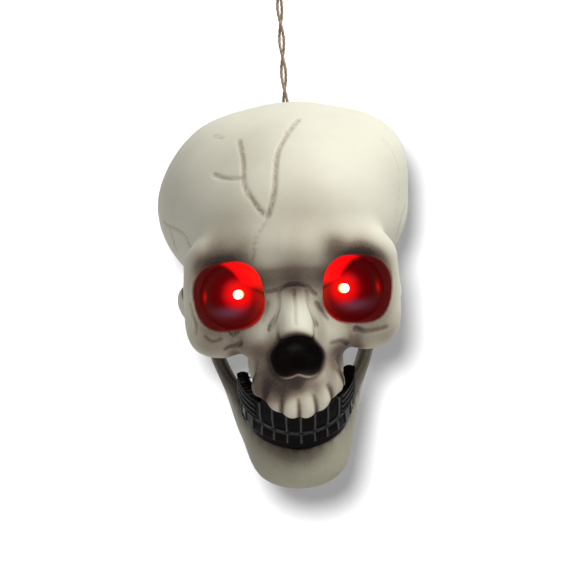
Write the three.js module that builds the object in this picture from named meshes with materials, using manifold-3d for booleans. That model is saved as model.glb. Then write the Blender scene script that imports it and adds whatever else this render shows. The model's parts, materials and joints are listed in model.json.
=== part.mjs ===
// Hanging light-up skull decoration in millimetres, +Z up, face towards -Y.
// The origin is the top of the twine loop, where a hook carries the skull.
// The skull itself is drawn in its own frame, level on the ear-to-eye-socket plane,
// with its origin midway between the ears, and then hung with its face tipped down.
import * as THREE from 'three';
import { mergeVertices } from 'three/addons/utils/BufferGeometryUtils.js';
import Module from 'manifold-3d';

const wasm = await Module();
wasm.setup();

// General sizes; angles are in degrees
const WALL = 2.4;
const CLEARANCE = 0.3;
const FACE_TIP = 12;
const SPLIT_Y = 18;
const HANG_X = 5;
const HANG_Y = 30;

// Blended masses of the skull's outer skin: centre and radii, or a rod with round ends
const VAULT_HALF_BREADTH = 71;
const VAULT_HALF_LENGTH = 78;
const VAULT_HALF_HEIGHT = 56;
const VAULT = { at: [0, 14, 46], radii: [VAULT_HALF_BREADTH, VAULT_HALF_LENGTH, VAULT_HALF_HEIGHT] };
const PARIETAL = { at: [34, 14, 64], radii: [30, 48, 28] };
const CROWN_LEAN = { shift: 6, from: 46, to: 88 };
const FOREHEAD = { at: [0, -36, 45], radii: [51, 42, 42] };
const SKULL_BASE = { at: [0, 22, 6], radii: [52, 60, 30] };
const MASTOID = { at: [44, 31, -12], radii: [10, 12, 14] };
const MIDFACE = { at: [0, -34, 10], radii: [55, 30, 30] };
const BROW = { from: [5, -75, 40], to: [42, -63, 35], radius: 7.5 };
const ORBIT_BLOCK = { at: [32, -58, 13], radii: [22, 14, 20] };
const ORBIT_SIDE = { from: [48, -57, 29], to: [48.5, -56, 0], radius: 6 };
const CHEEKBONE = { at: [42, -57, -8], radii: [12, 13, 11] };
const CHEEK_FOOT = { from: [46.5, -54, -12], to: [37, -60, -13], radius: 4.5 };
const NASAL_BONE = { from: [0, -67, 17], to: [0, -83, -3], radius: 8.5 };
const NASAL_SIDE = { from: [14, -67, 16], to: [19, -69, -10], radius: 7 };
const MAXILLA = { at: [0, -58, -24], radii: [25, 23, 22] };
const ALVEOLUS = { at: [0, -60, -42], radii: [25, 23, 16] };
const SKIN_BLEND = 12;
const SKIN_CENTRE = [0, -14, 8];

// Cheek arch: route of its middle line and half sizes of its section
const ARCH_ROUTE = [[45, -50, -6], [54, -40, -3], [59, -24, 0], [58, -6, 1], [50, 8, 2]];
const ARCH_HALF_THICKNESS = 2.8;
const ARCH_HALF_HEIGHT = 4.5;

// Eye socket: a tunnel that narrows to the round mouth of the bowl
const ORBIT = {
  at: [32.5, -66, 14],
  turn: 11,
  pitch: 13,
  droop: 8,
  halfWidth: 18.2,
  halfHeight: 17.4,
  squareness: 2.6,
};
const ORBIT_POINTS = 20;
const TUNNEL_DEPTH = 4.5;
const TUNNEL_MOUTH = 26;
const BOWL_RADIUS = 17.6;
const BOWL_DEPTH = 17;
const BOWL_WALL = 1.3;
const FLANGE_WIDTH = 2;
const FLANGE_THICKNESS = 1.8;
const LED_RADIUS = 2.5;
const LED_LENGTH = 8.6;
const HOLDER_RADIUS = 5;
const HOLDER_LENGTH = 7;

// Nose opening: two lower lobes, a peak and the hollow behind them
const NOSE_LOBE = { at: [6.6, -84, -18.6], radii: [8, 18, 8.2] };
const NOSE_PEAK = { at: [0, -84, -12], radii: [9.4, 18, 10.4] };
const NOSE_DEEP = { at: [0, -76, -17], radii: [11, 15, 8.5] };

// Teeth: an arch of tooth centres on an ellipse in a plane that rises to the back
const INCISAL = [0, -83, -57.5];
const OCCLUSAL_RISE = 18;
const TEETH = 12;
const ARCH_SWEEP = 80;
const UPPER_ARCH = { half: 29, depth: 36, inset: 3.4, tip: 0, lip: 9.5, root: 14 };
const LOWER_ARCH = { half: 28, depth: 35, inset: 4.6, tip: -0.6, lip: -8.5, root: -13 };
const TOOTH_HALF_DEPTH = 3.2;
const TIP_HALF_DEPTH = 1.4;
const TOOTH_OVERLAP = 0.4;
const ROOTS = 6;
const ROOT_PITCH = 0.2;
const ROOT_RADIUS = 6.4;
const ROOT_INSET = 1.2;
const ROOT_LENGTH = 14;
const PALATE = { at: [0, -54, -44], radii: [17, 18, 13] };

// Lower jaw: stations from the hinge to the chin, each with its upper edge, height and thickness
const HINGE = { y: -6, z: -8 };
const CHIN_HEIGHT = 27;
const JAW_STATIONS = [
  { x: 45, y: -6, top: -0.5, height: 11, thickness: 6 },
  { x: 45, y: -6, top: -7, height: 14, thickness: 6.2 },
  { x: 43, y: -11, top: -20, height: 24, thickness: 7.8 },
  { x: 34, y: -21, top: -39, height: 30, thickness: 8.4 },
  { x: 26.5, y: -42, top: -54.5, height: CHIN_HEIGHT, thickness: 10 },
  { x: 16, y: -63, top: -64.5, height: CHIN_HEIGHT, thickness: 13 },
  { x: 0, y: -71.5, top: -66, height: CHIN_HEIGHT, thickness: 14 },
];
const JAW_STEPS = 32;
const JAW_EYE_RADIUS = 6.5;
const JAW_EYE_INNER = 42;
const JAW_EYE_OUTER = 48;
const PIVOT_SHOULDER_RADIUS = 3;
const PIVOT_THREAD_RADIUS = 1.8;
const PIVOT_HEAD_RADIUS = 5;
const PIVOT_BOSS_RADIUS = 6;
const PIVOT_BOSS_INNER = 26;
const PIVOT_PILOT_LENGTH = 30;
const FOSSA_ROOM = 1.5;
const FOSSA_DEPTH = 12;

// Jaw springs: upright coils between a pin on the skull and a pin on the jaw
const SPRING_X = 22.5;
const SPRING_FOOT = [-30, -58];
const SPRING_LENGTH = 32;
const SPRING_COIL_RADIUS = 2.6;
const SPRING_RING_RADIUS = 2.2;
const SPRING_WIRE_RADIUS = 0.5;
const SPRING_TURNS = 7.5;
const SPRING_PIN_RADIUS = 1.2;

// Twine: two strands laid round each other up to a loop
const CORD_RISE = 88;
const STRAND_RADIUS = 0.85;
const TWIST_RADIUS = 1.25;
const TWIST_PITCH = 37.4;
const LOOP_RADIUS = 4.5;
const LOOP_LENGTH = 16;
const CORD_HOLE_RADIUS = 3.2;
const WASHER_RADIUS = 7;
const WASHER_THICKNESS = 1.2;
const KNOT_RADIUS = 5;

// Screws
const SCREW_RADIUS = 1.5;
const SCREW_HEAD_RADIUS = 2.8;
const SCREW_HEAD_HEIGHT = 2;
const SCREW_LENGTH = 12;
const SCREW_SEAT = 4.2;
const SCREW_PILLAR_WALL = 2.6;
const SHELL_SCREW_HEIGHTS = [64, 20];
const WELL_REACH = 80;
const CUT_REACH = 60;
const SMALL_SCREW_RADIUS = 1.1;
const SMALL_SCREW_HEAD_RADIUS = 2;
const SMALL_SCREW_HEAD_HEIGHT = 1.4;
const SMALL_SCREW_LENGTH = 7;
const POST_WALL = 1.6;
const LEAD_RADIUS = 0.9;
const LEAD_PITCH = 3.6;

// Battery compartment under the rear shell: cells along X, and round them the tray, door, flange and pad
const CELL_RADIUS = 5.25;
const CELL_LENGTH = 44.5;
const CELL_NUB_RADIUS = 1.9;
const CELL_NUB_LENGTH = 1;
const CELL_PITCH = 11;
const CELL_ROOM = 0.25;
const CONTACT_THICKNESS = 0.5;
const CONTACT_WIRE_RADIUS = 0.35;
const CONTACT_TURNS = 3;
const CONTACT_COIL_ROOM = 6.2;
const CONTACT_REACH = (CELL_LENGTH + CONTACT_COIL_ROOM + CLEARANCE) / 2;
const TRAY_FROM_Y = 27.5;
const TRAY_WALL = 1.2;
const TRAY = {
  halfX: CONTACT_REACH + CONTACT_THICKNESS + CLEARANCE + TRAY_WALL,
  fromY: TRAY_FROM_Y,
  toY: TRAY_FROM_Y + CELL_PITCH + 2 * (CELL_RADIUS + CELL_ROOM + TRAY_WALL),
};
const DOOR_LAP = 1.1;
const DOOR_TAB_REACH = 5.5;
const DOOR = {
  halfX: TRAY.halfX + DOOR_LAP,
  fromY: TRAY.fromY - DOOR_LAP,
  toY: TRAY.toY + DOOR_LAP,
  thickness: 1.7,
  tabFrom: 16,
  tabTo: 26,
  tabY: TRAY.toY + DOOR_LAP + DOOR_TAB_REACH,
};
const DOOR_SCREW_REACH = 2.8;
const DOOR_SCREW = [(DOOR.tabFrom + DOOR.tabTo) / 2, DOOR.toY + DOOR_SCREW_REACH];
const BOX_SCREW_FROM_FRONT = 12.5;
const BOX_SCREW = [DOOR.halfX + SMALL_SCREW_HEAD_RADIUS, TRAY.fromY + BOX_SCREW_FROM_FRONT];
const FLANGE_EDGE = 2.8;
const FLANGE_FRONT = 2.4;
const FLANGE_BACK = 3;
const BOX_FLANGE = {
  halfX: BOX_SCREW[0] + FLANGE_EDGE,
  fromY: DOOR.fromY - FLANGE_FRONT,
  toY: DOOR.tabY + FLANGE_BACK,
  thickness: 3,
};
const PAD_SIDE = 0.6;
const PAD_END = 0.5;
const PAD = {
  halfX: BOX_FLANGE.halfX + PAD_SIDE,
  fromY: BOX_FLANGE.fromY - PAD_END,
  toY: BOX_FLANGE.toY + PAD_END,
  bottom: -21,
  top: 4,
};
const SWITCH_BEHIND_TRAY = 4.5;
const SWITCH = {
  x: -8,
  y: TRAY.toY + SWITCH_BEHIND_TRAY,
  halfX: 6,
  halfY: 3,
  height: 6,
  knobHalfX: 2,
  knobHalfY: 1.5,
  knobReach: 2,
  travel: 4,
};

// Short names
const vec = (x, y, z) => new THREE.Vector3(x, y, z);
const radians = THREE.MathUtils.degToRad;
const matrix = () => new THREE.Matrix4();
const MIRROR = matrix().makeScale(-1, 1, 1);
const join = (...solids) => wasm.Manifold.union(solids.flat());

// Distance-like fields, negative inside; both sides of the skull are alike, so x is folded
function ellipsoid({ at, radii }) {
  const [cx, cy, cz] = at;
  const [rx, ry, rz] = radii;
  return (x, y, z) => {
    const [u, v, w] = [(Math.abs(x) - cx) / rx, (y - cy) / ry, (z - cz) / rz];
    const reach = Math.hypot(u, v, w);
    const slope = Math.hypot(u / rx, v / ry, w / rz);
    return slope < 1e-9 ? -Math.min(rx, ry, rz) : (reach * (reach - 1)) / slope;
  };
}

function rod({ from, to, radius }) {
  const start = vec(...from);
  const along = vec(...to).sub(start);
  const p = vec(0, 0, 0);
  return (x, y, z) => {
    p.set(Math.abs(x), y, z).sub(start);
    const share = THREE.MathUtils.clamp(p.dot(along) / along.lengthSq(), 0, 1);
    return p.addScaledVector(along, -share).length() - radius;
  };
}

function smoothMin(a, b) {
  const h = Math.max(SKIN_BLEND - Math.abs(a - b), 0) / SKIN_BLEND;
  return Math.min(a, b) - (h * h * SKIN_BLEND) / 4;
}

const blend = (fields) => (x, y, z) => fields.map((field) => field(x, y, z)).reduce(smoothMin);

// Closed mesh to solid: doubled points merged, slivers dropped, faces turned outwards
function solidOf(geometry, placement = matrix()) {
  const bare = geometry.clone().applyMatrix4(placement);
  bare.deleteAttribute('normal');
  bare.deleteAttribute('uv');
  const merged = mergeVertices(bare, 1e-4);
  const index = merged.index.array;
  const spot = merged.attributes.position;
  const kept = [];
  let volume = 0;
  for (let i = 0; i < index.length; i += 3) {
    const [a, b, c] = [index[i], index[i + 1], index[i + 2]];
    if (a === b || b === c || c === a) continue;
    kept.push(a, b, c);
    const [p, q, r] = [a, b, c].map((k) => vec(0, 0, 0).fromBufferAttribute(spot, k));
    volume += p.dot(q.cross(r));
  }
  if (volume < 0) kept.reverse();
  const triVerts = new Uint32Array(kept);
  return new wasm.Manifold(new wasm.Mesh({ numProp: 3, vertProperties: spot.array, triVerts }));
}

// Rings of equal count, joined in order and closed by a fan at each end
function loft(rings, placement) {
  const count = rings[0].length;
  const points = rings.flat();
  const index = [];
  for (let r = 0; r + 1 < rings.length; r++) {
    for (let k = 0; k < count; k++) {
      const [a, b] = [r * count + k, r * count + ((k + 1) % count)];
      index.push(a, b, a + count, b, b + count, a + count);
    }
  }
  for (const [start, turn] of [[0, 0], [(rings.length - 1) * count, 1]]) {
    const middle = points.length;
    const centre = vec(0, 0, 0);
    for (let k = 0; k < count; k++) centre.addScaledVector(points[start + k], 1 / count);
    points.push(centre);
    for (let k = 0; k < count; k++) {
      const edge = [start + k, start + ((k + 1) % count)];
      index.push(middle, edge[1 - turn], edge[turn]);
    }
  }
  const geometry = new THREE.BufferGeometry().setFromPoints(points);
  geometry.setIndex(index);
  return solidOf(geometry, placement);
}

// Round tube along a list of points
function tube(points, radius, sides, placement) {
  const side = vec(0, 0, 0);
  const rings = points.map((point, i) => {
    const next = points[Math.min(i + 1, points.length - 1)];
    const along = next.clone().sub(points[Math.max(i - 1, 0)]).normalize();
    if (i === 0) side.set(along.y, along.z, along.x);
    side.addScaledVector(along, -side.dot(along)).normalize();
    const other = along.clone().cross(side);
    return Array.from({ length: sides }, (_, k) => {
      const angle = (2 * Math.PI * k) / sides;
      const reach = point.clone().addScaledVector(side, radius * Math.cos(angle));
      return reach.addScaledVector(other, radius * Math.sin(angle));
    });
  });
  return loft(rings, placement);
}

// Placement whose Z axis runs from one point towards another
function towards(from, to) {
  const along = to.clone().sub(from).normalize();
  const turn = new THREE.Quaternion().setFromUnitVectors(vec(0, 0, 1), along);
  return matrix().compose(from, turn, vec(1, 1, 1));
}

// Turned piece: [radius, height] pairs round the Z axis of its placement
function turned(profile, placement, sides) {
  const lathe = new THREE.LatheGeometry(profile.map(([r, h]) => new THREE.Vector2(r, h)), sides);
  return solidOf(lathe.rotateX(Math.PI / 2), placement);
}

function cylinder(from, to, radius, sides) {
  const length = from.distanceTo(to);
  return turned([[0, 0], [radius, 0], [radius, length], [0, length]], towards(from, to), sides);
}

function block(x0, x1, y0, y1, z0, z1) {
  const centre = matrix().makeTranslation((x0 + x1) / 2, (y0 + y1) / 2, (z0 + z1) / 2);
  return solidOf(new THREE.BoxGeometry(x1 - x0, y1 - y0, z1 - z0), centre);
}

function ball({ at, radii }, side, grow, columns, rows) {
  const sizes = radii.map((radius) => radius + grow);
  const placement = matrix().makeTranslation(side * at[0], at[1], at[2]).scale(vec(...sizes));
  return solidOf(new THREE.SphereGeometry(1, columns, rows).rotateX(Math.PI / 2), placement);
}

const screwProfile = (head, height, radius, length) => [
  [0, -length],
  [radius * 0.6, -length],
  [radius, -length + 1],
  [radius, 0],
  [head, 0],
  [head, height * 0.6],
  [head * 0.7, height],
  [0, height],
];

// Skin: a sphere mesh whose points are drawn out from the centre to the surface of a field,
// with its columns crowded towards the face and its rows towards the lower half
const CAST_REACH = 190;
const FACE_CROWDING = 0.42;
const ROW_CROWDING = 0.4;
const ROW_FOCUS = radians(112);
const SKIN_GRID = [44, 34];
const CAVITY_GRID = [22, 16];

function march(field, start, direction) {
  const p = start.clone();
  for (let step = 0; step < 90; step++) {
    const gap = field(p.x, p.y, p.z);
    if (gap < 0.01) break;
    p.addScaledVector(direction, 0.7 * gap);
  }
  return p;
}

function skinSolid(field, [columns, rows]) {
  const geometry = new THREE.SphereGeometry(1, columns, rows);
  const spot = geometry.attributes.position;
  const centre = vec(...SKIN_CENTRE);
  const out = vec(0, 0, 0);
  for (let i = 0; i < spot.count; i++) {
    out.fromBufferAttribute(spot, i);
    const turn = Math.atan2(out.x, out.z);
    const polar = Math.acos(THREE.MathUtils.clamp(out.y, -1, 1));
    const swing = turn - FACE_CROWDING * Math.sin(turn);
    const crowding = Math.sin(2 * (polar - ROW_FOCUS)) + Math.sin(2 * ROW_FOCUS);
    const tilt = polar - (ROW_CROWDING / 2) * crowding;
    out.set(Math.sin(swing) * Math.sin(tilt), -Math.cos(swing) * Math.sin(tilt), Math.cos(tilt));
    const point = march(field, centre.clone().addScaledVector(out, CAST_REACH), out.clone().negate());
    spot.setXYZ(i, point.x, point.y, point.z);
  }
  return solidOf(geometry);
}

const cavityMasses = [VAULT, PARIETAL, FOREHEAD, SKULL_BASE, MASTOID, MIDFACE].map(ellipsoid);
const faceMasses = [ORBIT_BLOCK, CHEEKBONE, MAXILLA, ALVEOLUS].map(ellipsoid);
const ridges = [BROW, ORBIT_SIDE, CHEEK_FOOT, NASAL_BONE, NASAL_SIDE].map(rod);
const leaning = (field) => (x, y, z) => {
  const share = THREE.MathUtils.smoothstep(z, CROWN_LEAN.from, CROWN_LEAN.to);
  return field(x - CROWN_LEAN.shift * share, y, z);
};
const skinField = leaning(blend([...cavityMasses, ...faceMasses, ...ridges]));
const innerField = leaning(blend(cavityMasses));
const skinAt = (start, direction) => march(skinField, start, direction);
const skinSide = (side, y, z) => skinAt(vec(side * CAST_REACH, y, z), vec(-side, 0, 0)).x;
const skin = skinSolid(skinField, SKIN_GRID);
const cavity = skinSolid((x, y, z) => innerField(x, y, z) + WALL, CAVITY_GRID);

// Where the head hangs: the crown point under the twine, and the tipped placement of the skull
const crown = skinAt(vec(HANG_X, HANG_Y, CAST_REACH), vec(0, 0, -1));
const headPlacement = matrix().makeTranslation(0, 0, -CORD_RISE);
headPlacement.multiply(matrix().makeRotationX(radians(FACE_TIP)));
headPlacement.multiply(matrix().makeTranslation(-crown.x, -crown.y, -crown.z));
const upright = vec(0, Math.sin(radians(FACE_TIP)), Math.cos(radians(FACE_TIP)));

// Both sides of a piece that is drawn on the +X side
const bothSides = (make) => [make(matrix()), make(MIRROR)];

// Cheek arches
function cheekArch(side) {
  const curve = new THREE.CatmullRomCurve3(ARCH_ROUTE.map((p) => vec(...p)));
  const rings = curve.getPoints(8).map((point, i) => {
    const along = curve.getTangent(i / 8);
    const across = along.clone().cross(vec(0, 0, 1)).normalize();
    const up = across.clone().cross(along);
    return Array.from({ length: 8 }, (_, k) => {
      const angle = (Math.PI * k) / 4;
      const edge = point.clone().addScaledVector(across, ARCH_HALF_THICKNESS * Math.cos(angle));
      return edge.addScaledVector(up, ARCH_HALF_HEIGHT * Math.sin(angle));
    });
  });
  return loft(rings, side);
}

// Eye sockets: local X to the side, Y up, Z out of the socket
const orbitTurn = radians(ORBIT.turn);
const orbitAcross = vec(Math.cos(orbitTurn), Math.sin(orbitTurn), 0);
const orbitLevel = vec(Math.sin(orbitTurn), -Math.cos(orbitTurn), 0);
const orbitOut = orbitLevel.applyAxisAngle(orbitAcross, -radians(ORBIT.pitch));
const orbitUp = orbitOut.clone().cross(orbitAcross);
const orbitPlacement = matrix().makeBasis(orbitAcross, orbitUp, orbitOut).setPosition(...ORBIT.at);
const inOrbit = (side) => side.clone().multiply(orbitPlacement);

function orbitRing(halfWidth, halfHeight, squareness, depth) {
  const droop = radians(-ORBIT.droop);
  return Array.from({ length: ORBIT_POINTS }, (_, k) => {
    const angle = (2 * Math.PI * k) / ORBIT_POINTS;
    const [c, s] = [Math.cos(angle), Math.sin(angle)];
    const x = halfWidth * Math.sign(c) * Math.abs(c) ** (2 / squareness);
    const y = halfHeight * Math.sign(s) * Math.abs(s) ** (2 / squareness);
    return vec(x * Math.cos(droop) - y * Math.sin(droop), x * Math.sin(droop) + y * Math.cos(droop), depth);
  });
}

function eyeTunnel(side, grow, back) {
  const [w, h] = [ORBIT.halfWidth + grow, ORBIT.halfHeight + grow];
  const rings = [
    orbitRing(w * 1.3, h * 1.25, ORBIT.squareness, TUNNEL_MOUTH),
    orbitRing(w, h, ORBIT.squareness, 0),
    orbitRing(BOWL_RADIUS + grow, BOWL_RADIUS + grow, 2, -TUNNEL_DEPTH),
    orbitRing(BOWL_RADIUS + grow, BOWL_RADIUS + grow, 2, back),
  ];
  return loft(rings, inOrbit(side));
}

const seatDepth = -TUNNEL_DEPTH - WALL;
const flangeRadius = BOWL_RADIUS + FLANGE_WIDTH;
const bowlFront = seatDepth - CLEARANCE;
const bowlBack = bowlFront - BOWL_DEPTH;

function bowlProfile() {
  const inner = [];
  const outer = [];
  for (let k = 0; k <= 5; k++) {
    const angle = (Math.PI / 2) * (k / 5);
    inner.push([BOWL_RADIUS * Math.cos(angle), bowlFront - BOWL_DEPTH * Math.sin(angle)]);
    const [r, h] = [BOWL_RADIUS + BOWL_WALL, BOWL_DEPTH + BOWL_WALL];
    outer.push([r * Math.cos(angle), bowlFront - h * Math.sin(angle)]);
  }
  const hole = LED_RADIUS + CLEARANCE;
  const ring = inner.filter(([r]) => r > hole + 1);
  const shell = outer.filter(([r, h]) => r > hole + 1 && h < bowlFront - FLANGE_THICKNESS);
  const profile = [
    [flangeRadius, bowlFront],
    ...ring,
    [hole, bowlBack],
    [hole, bowlBack - BOWL_WALL],
    ...shell.reverse(),
    [BOWL_RADIUS + BOWL_WALL, bowlFront - FLANGE_THICKNESS],
    [flangeRadius, bowlFront - FLANGE_THICKNESS],
  ];
  return [...profile, profile[0]];
}

// Teeth: local X to the side, Y to the back, Z up, origin at the front edge of the bite
const bite = matrix().makeTranslation(...INCISAL).multiply(matrix().makeRotationX(radians(OCCLUSAL_RISE)));

function archPoint(arch, share) {
  const angle = radians(ARCH_SWEEP) * share;
  const point = vec(arch.half * Math.sin(angle), arch.inset + arch.depth * (1 - Math.cos(angle)), 0);
  const along = vec(arch.half * Math.cos(angle), arch.depth * Math.sin(angle), 0);
  const out = vec(along.y, -along.x, 0).normalize();
  return { point, along: along.clone().normalize(), out, stretch: along.length() };
}

function tooth(arch, share, halfWidth) {
  const { point, along, out } = archPoint(arch, share);
  const towardsMolar = Math.min(1, 1.6 * share * share);
  const tipDepth = THREE.MathUtils.lerp(TIP_HALF_DEPTH, TOOTH_HALF_DEPTH * 0.95, towardsMolar);
  const levels = [
    [arch.tip, 0.84, tipDepth],
    [arch.tip + 0.45 * (arch.lip - arch.tip), 1, TOOTH_HALF_DEPTH],
    [arch.lip, 0.88, TOOTH_HALF_DEPTH * 0.85],
  ];
  const rings = levels.map(([height, widthShare, depth]) =>
    Array.from({ length: 6 }, (_, k) => {
      const angle = (Math.PI * k) / 3;
      const corner = point.clone().addScaledVector(along, halfWidth * widthShare * 1.08 * Math.cos(angle));
      corner.addScaledVector(out, depth * 1.08 * Math.sin(angle));
      return corner.setZ(height);
    }),
  );
  return loft(rings, bite);
}

function dentalBand(arch, halfDepth, from, to, grow) {
  const steps = 12;
  const rings = Array.from({ length: steps + 1 }, (_, i) => {
    const { point, out } = archPoint(arch, (1.03 + 0.02 * grow) * ((2 * i) / steps - 1));
    return [[-1, from], [1, from], [1, to], [-1, to]].map(([side, level]) =>
      point.clone().addScaledVector(out, side * (halfDepth + grow)).setZ(level));
  });
  return loft(rings, bite);
}

function dentalBase(arch, grow) {
  const sign = Math.sign(arch.root - arch.tip);
  const lip = arch.lip - sign * (0.6 + grow);
  return dentalBand(arch, TOOTH_HALF_DEPTH * 0.95, lip, arch.root + sign * grow, grow);
}

function dentalInsert(arch) {
  const pitch = 2 / TEETH;
  const teeth = Array.from({ length: TEETH }, (_, i) => {
    const share = -1 + pitch * (i + 0.5);
    const halfWidth = (archPoint(arch, share).stretch * radians(ARCH_SWEEP) * pitch + TOOTH_OVERLAP) / 2;
    return tooth(arch, share, halfWidth);
  });
  return join(dentalBase(arch, 0), teeth);
}

// Tooth roots that stand out of the upper jaw above the black teeth
function toothRoots() {
  return Array.from({ length: ROOTS }, (_, i) => {
    const { point, out } = archPoint(UPPER_ARCH, ROOT_PITCH * (i - (ROOTS - 1) / 2));
    const rings = [0, 0.3, 0.7, 1].map((share, level) => {
      const radius = ROOT_RADIUS * [0.95, 1, 0.8, 0.3][level];
      const height = UPPER_ARCH.lip + share * ROOT_LENGTH;
      const middle = point.clone().addScaledVector(out, -ROOT_INSET - 5 * share * share);
      return Array.from({ length: 6 }, (_, k) => {
        const angle = (Math.PI * k) / 3;
        return middle.clone().add(vec(radius * Math.cos(angle), radius * Math.sin(angle), 0)).setZ(height);
      });
    });
    return loft(rings, bite);
  });
}

// Lower jaw: rounded plates swept from one hinge round the chin to the other
function jawSweep() {
  const right = JAW_STATIONS.slice(0, -1);
  const left = right.map((station) => ({ ...station, x: -station.x })).reverse();
  const stations = [...right, JAW_STATIONS.at(-1), ...left];
  const spots = stations.map(({ x, y, top, height }) => vec(x, y, top - height / 2));
  const middle = new THREE.CatmullRomCurve3(spots, false, 'centripetal');
  const rings = Array.from({ length: JAW_STEPS + 1 }, (_, i) => {
    const share = i / JAW_STEPS;
    const point = middle.getPoint(share);
    const along = middle.getTangent(share);
    const outward = vec(point.x, Math.min(0, point.y + 40) * (1 - Math.abs(point.x) / 50), 0).normalize();
    const up = along.clone().cross(outward).normalize();
    const out = up.clone().cross(along);
    const place = share * (stations.length - 1);
    const low = stations[Math.floor(place)];
    const high = stations[Math.min(Math.floor(place) + 1, stations.length - 1)];
    const half = ['height', 'thickness'].map((size) =>
      THREE.MathUtils.lerp(low[size], high[size], place % 1) / 2);
    return Array.from({ length: 10 }, (_, k) => {
      const angle = (2 * Math.PI * (k + 0.5)) / 10;
      const [c, s] = [Math.cos(angle), Math.sin(angle)];
      const corner = point.clone().addScaledVector(up, half[0] * Math.sign(s) * Math.abs(s) ** 0.8);
      return corner.addScaledVector(out, half[1] * Math.sign(c) * Math.abs(c) ** 0.8);
    });
  });
  return loft(rings);
}

// Jaw spring: a ring round each pin and a coil between them, local Z along the spring
function springRoute(length) {
  const coilStart = SPRING_RING_RADIUS + 2.6;
  const half = [];
  for (let k = 0; k <= 9; k++) {
    const angle = radians(60 + (300 * k) / 9);
    half.push(vec(0, SPRING_RING_RADIUS * Math.sin(angle), SPRING_RING_RADIUS * Math.cos(angle)));
  }
  half.push(vec(0, SPRING_COIL_RADIUS * 0.75, SPRING_RING_RADIUS + 0.7));
  const coil = [];
  const steps = Math.round(SPRING_TURNS * 8);
  for (let k = 0; k <= steps; k++) {
    const share = k / steps;
    const angle = Math.PI / 2 - 2 * Math.PI * SPRING_TURNS * share;
    const height = coilStart + share * (length - 2 * coilStart);
    coil.push(vec(SPRING_COIL_RADIUS * Math.cos(angle), SPRING_COIL_RADIUS * Math.sin(angle), height));
  }
  const far = half.map((p) => vec(p.x, -p.y, length - p.z)).reverse();
  return [...half, ...coil, ...far];
}

// Least gap of a tube to itself, measured between points more than a bend apart
function leastGap(points, radius, bend) {
  const travelled = [0];
  for (let i = 1; i < points.length; i++) {
    travelled.push(travelled[i - 1] + points[i].distanceTo(points[i - 1]));
  }
  let least = Infinity;
  for (let i = 0; i < points.length; i++) {
    for (let j = i + 1; j < points.length; j++) {
      if (travelled[j] - travelled[i] > bend) least = Math.min(least, points[i].distanceTo(points[j]));
    }
  }
  return least - 2 * radius;
}

// Pieces in the skull frame
const bowls = bothSides((side) => turned(bowlProfile(), inOrbit(side), 18));
const bowlRooms = bothSides((side) => {
  const [r, h] = [flangeRadius + CLEARANCE, BOWL_DEPTH + 4];
  const ledge = seatDepth - FLANGE_THICKNESS - 2 * CLEARANCE;
  const profile = [
    [0, seatDepth - h],
    [r * 0.6, seatDepth - h],
    [r - 1, ledge - 4],
    [r, ledge],
    [r, seatDepth],
    [0, seatDepth],
  ];
  return turned(profile, inOrbit(side), 20);
});
const tunnels = bothSides((side) => eyeTunnel(side, 0, seatDepth - 1));
const tunnelWalls = bothSides((side) => eyeTunnel(side, WALL, seatDepth));
const noses = [[NOSE_LOBE, 1], [NOSE_LOBE, -1], [NOSE_PEAK, 1], [NOSE_DEEP, 1]].map(([shape, side]) =>
  ball(shape, side, 0, 12, 6));
const arches = bothSides((side) => cheekArch(side));

const upperInsert = dentalInsert(UPPER_ARCH);
const lowerInsert = dentalInsert(LOWER_ARCH);
const upperRoom = dentalBase(UPPER_ARCH, CLEARANCE);
const lowerRoom = dentalBase(LOWER_ARCH, CLEARANCE);
const aboveGum = solidOf(
  new THREE.BoxGeometry(2 * CUT_REACH, CUT_REACH + 6, CUT_REACH),
  bite.clone().multiply(matrix().makeTranslation(0, 9, LOWER_ARCH.lip + CUT_REACH / 2)),
);
const belowLip = solidOf(
  new THREE.BoxGeometry(2 * CUT_REACH, CUT_REACH, CUT_REACH),
  bite.clone().multiply(matrix().makeTranslation(0, 20, UPPER_ARCH.lip - CUT_REACH / 2)),
);
const roots = toothRoots();
const palate = ball(PALATE, 1, 0, 14, 8);

const hingePoint = (x) => vec(x, HINGE.y, HINGE.z);
const bossEnd = JAW_EYE_INNER - CLEARANCE;
const alongHinge = (side, x) => side.clone().multiply(towards(hingePoint(x), hingePoint(x + 1)));
const hingeBosses = bothSides((side) => {
  const length = bossEnd - PIVOT_BOSS_INNER;
  const profile = [[0, 0], [PIVOT_BOSS_RADIUS, 0], [PIVOT_BOSS_RADIUS, length], [0, length]];
  return turned(profile, alongHinge(side, PIVOT_BOSS_INNER), 12);
});
const hingePilots = bothSides((side) => {
  const radius = PIVOT_THREAD_RADIUS + CLEARANCE;
  const profile = [[0, 0], [radius, 0], [radius, PIVOT_PILOT_LENGTH], [0, PIVOT_PILOT_LENGTH]];
  return turned(profile, alongHinge(side, PIVOT_BOSS_INNER - 1), 10);
});
const fossaProfile = (grow) => {
  const radius = JAW_EYE_RADIUS + FOSSA_ROOM + grow;
  const depth = FOSSA_DEPTH + grow;
  return [[0, 0], [radius, 0], [radius, depth], [0, depth]];
};
const fossae = bothSides((side) => turned(fossaProfile(0), alongHinge(side, bossEnd), 14));
const fossaWalls = bothSides((side) => turned(fossaProfile(WALL), alongHinge(side, bossEnd - WALL), 14));

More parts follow.
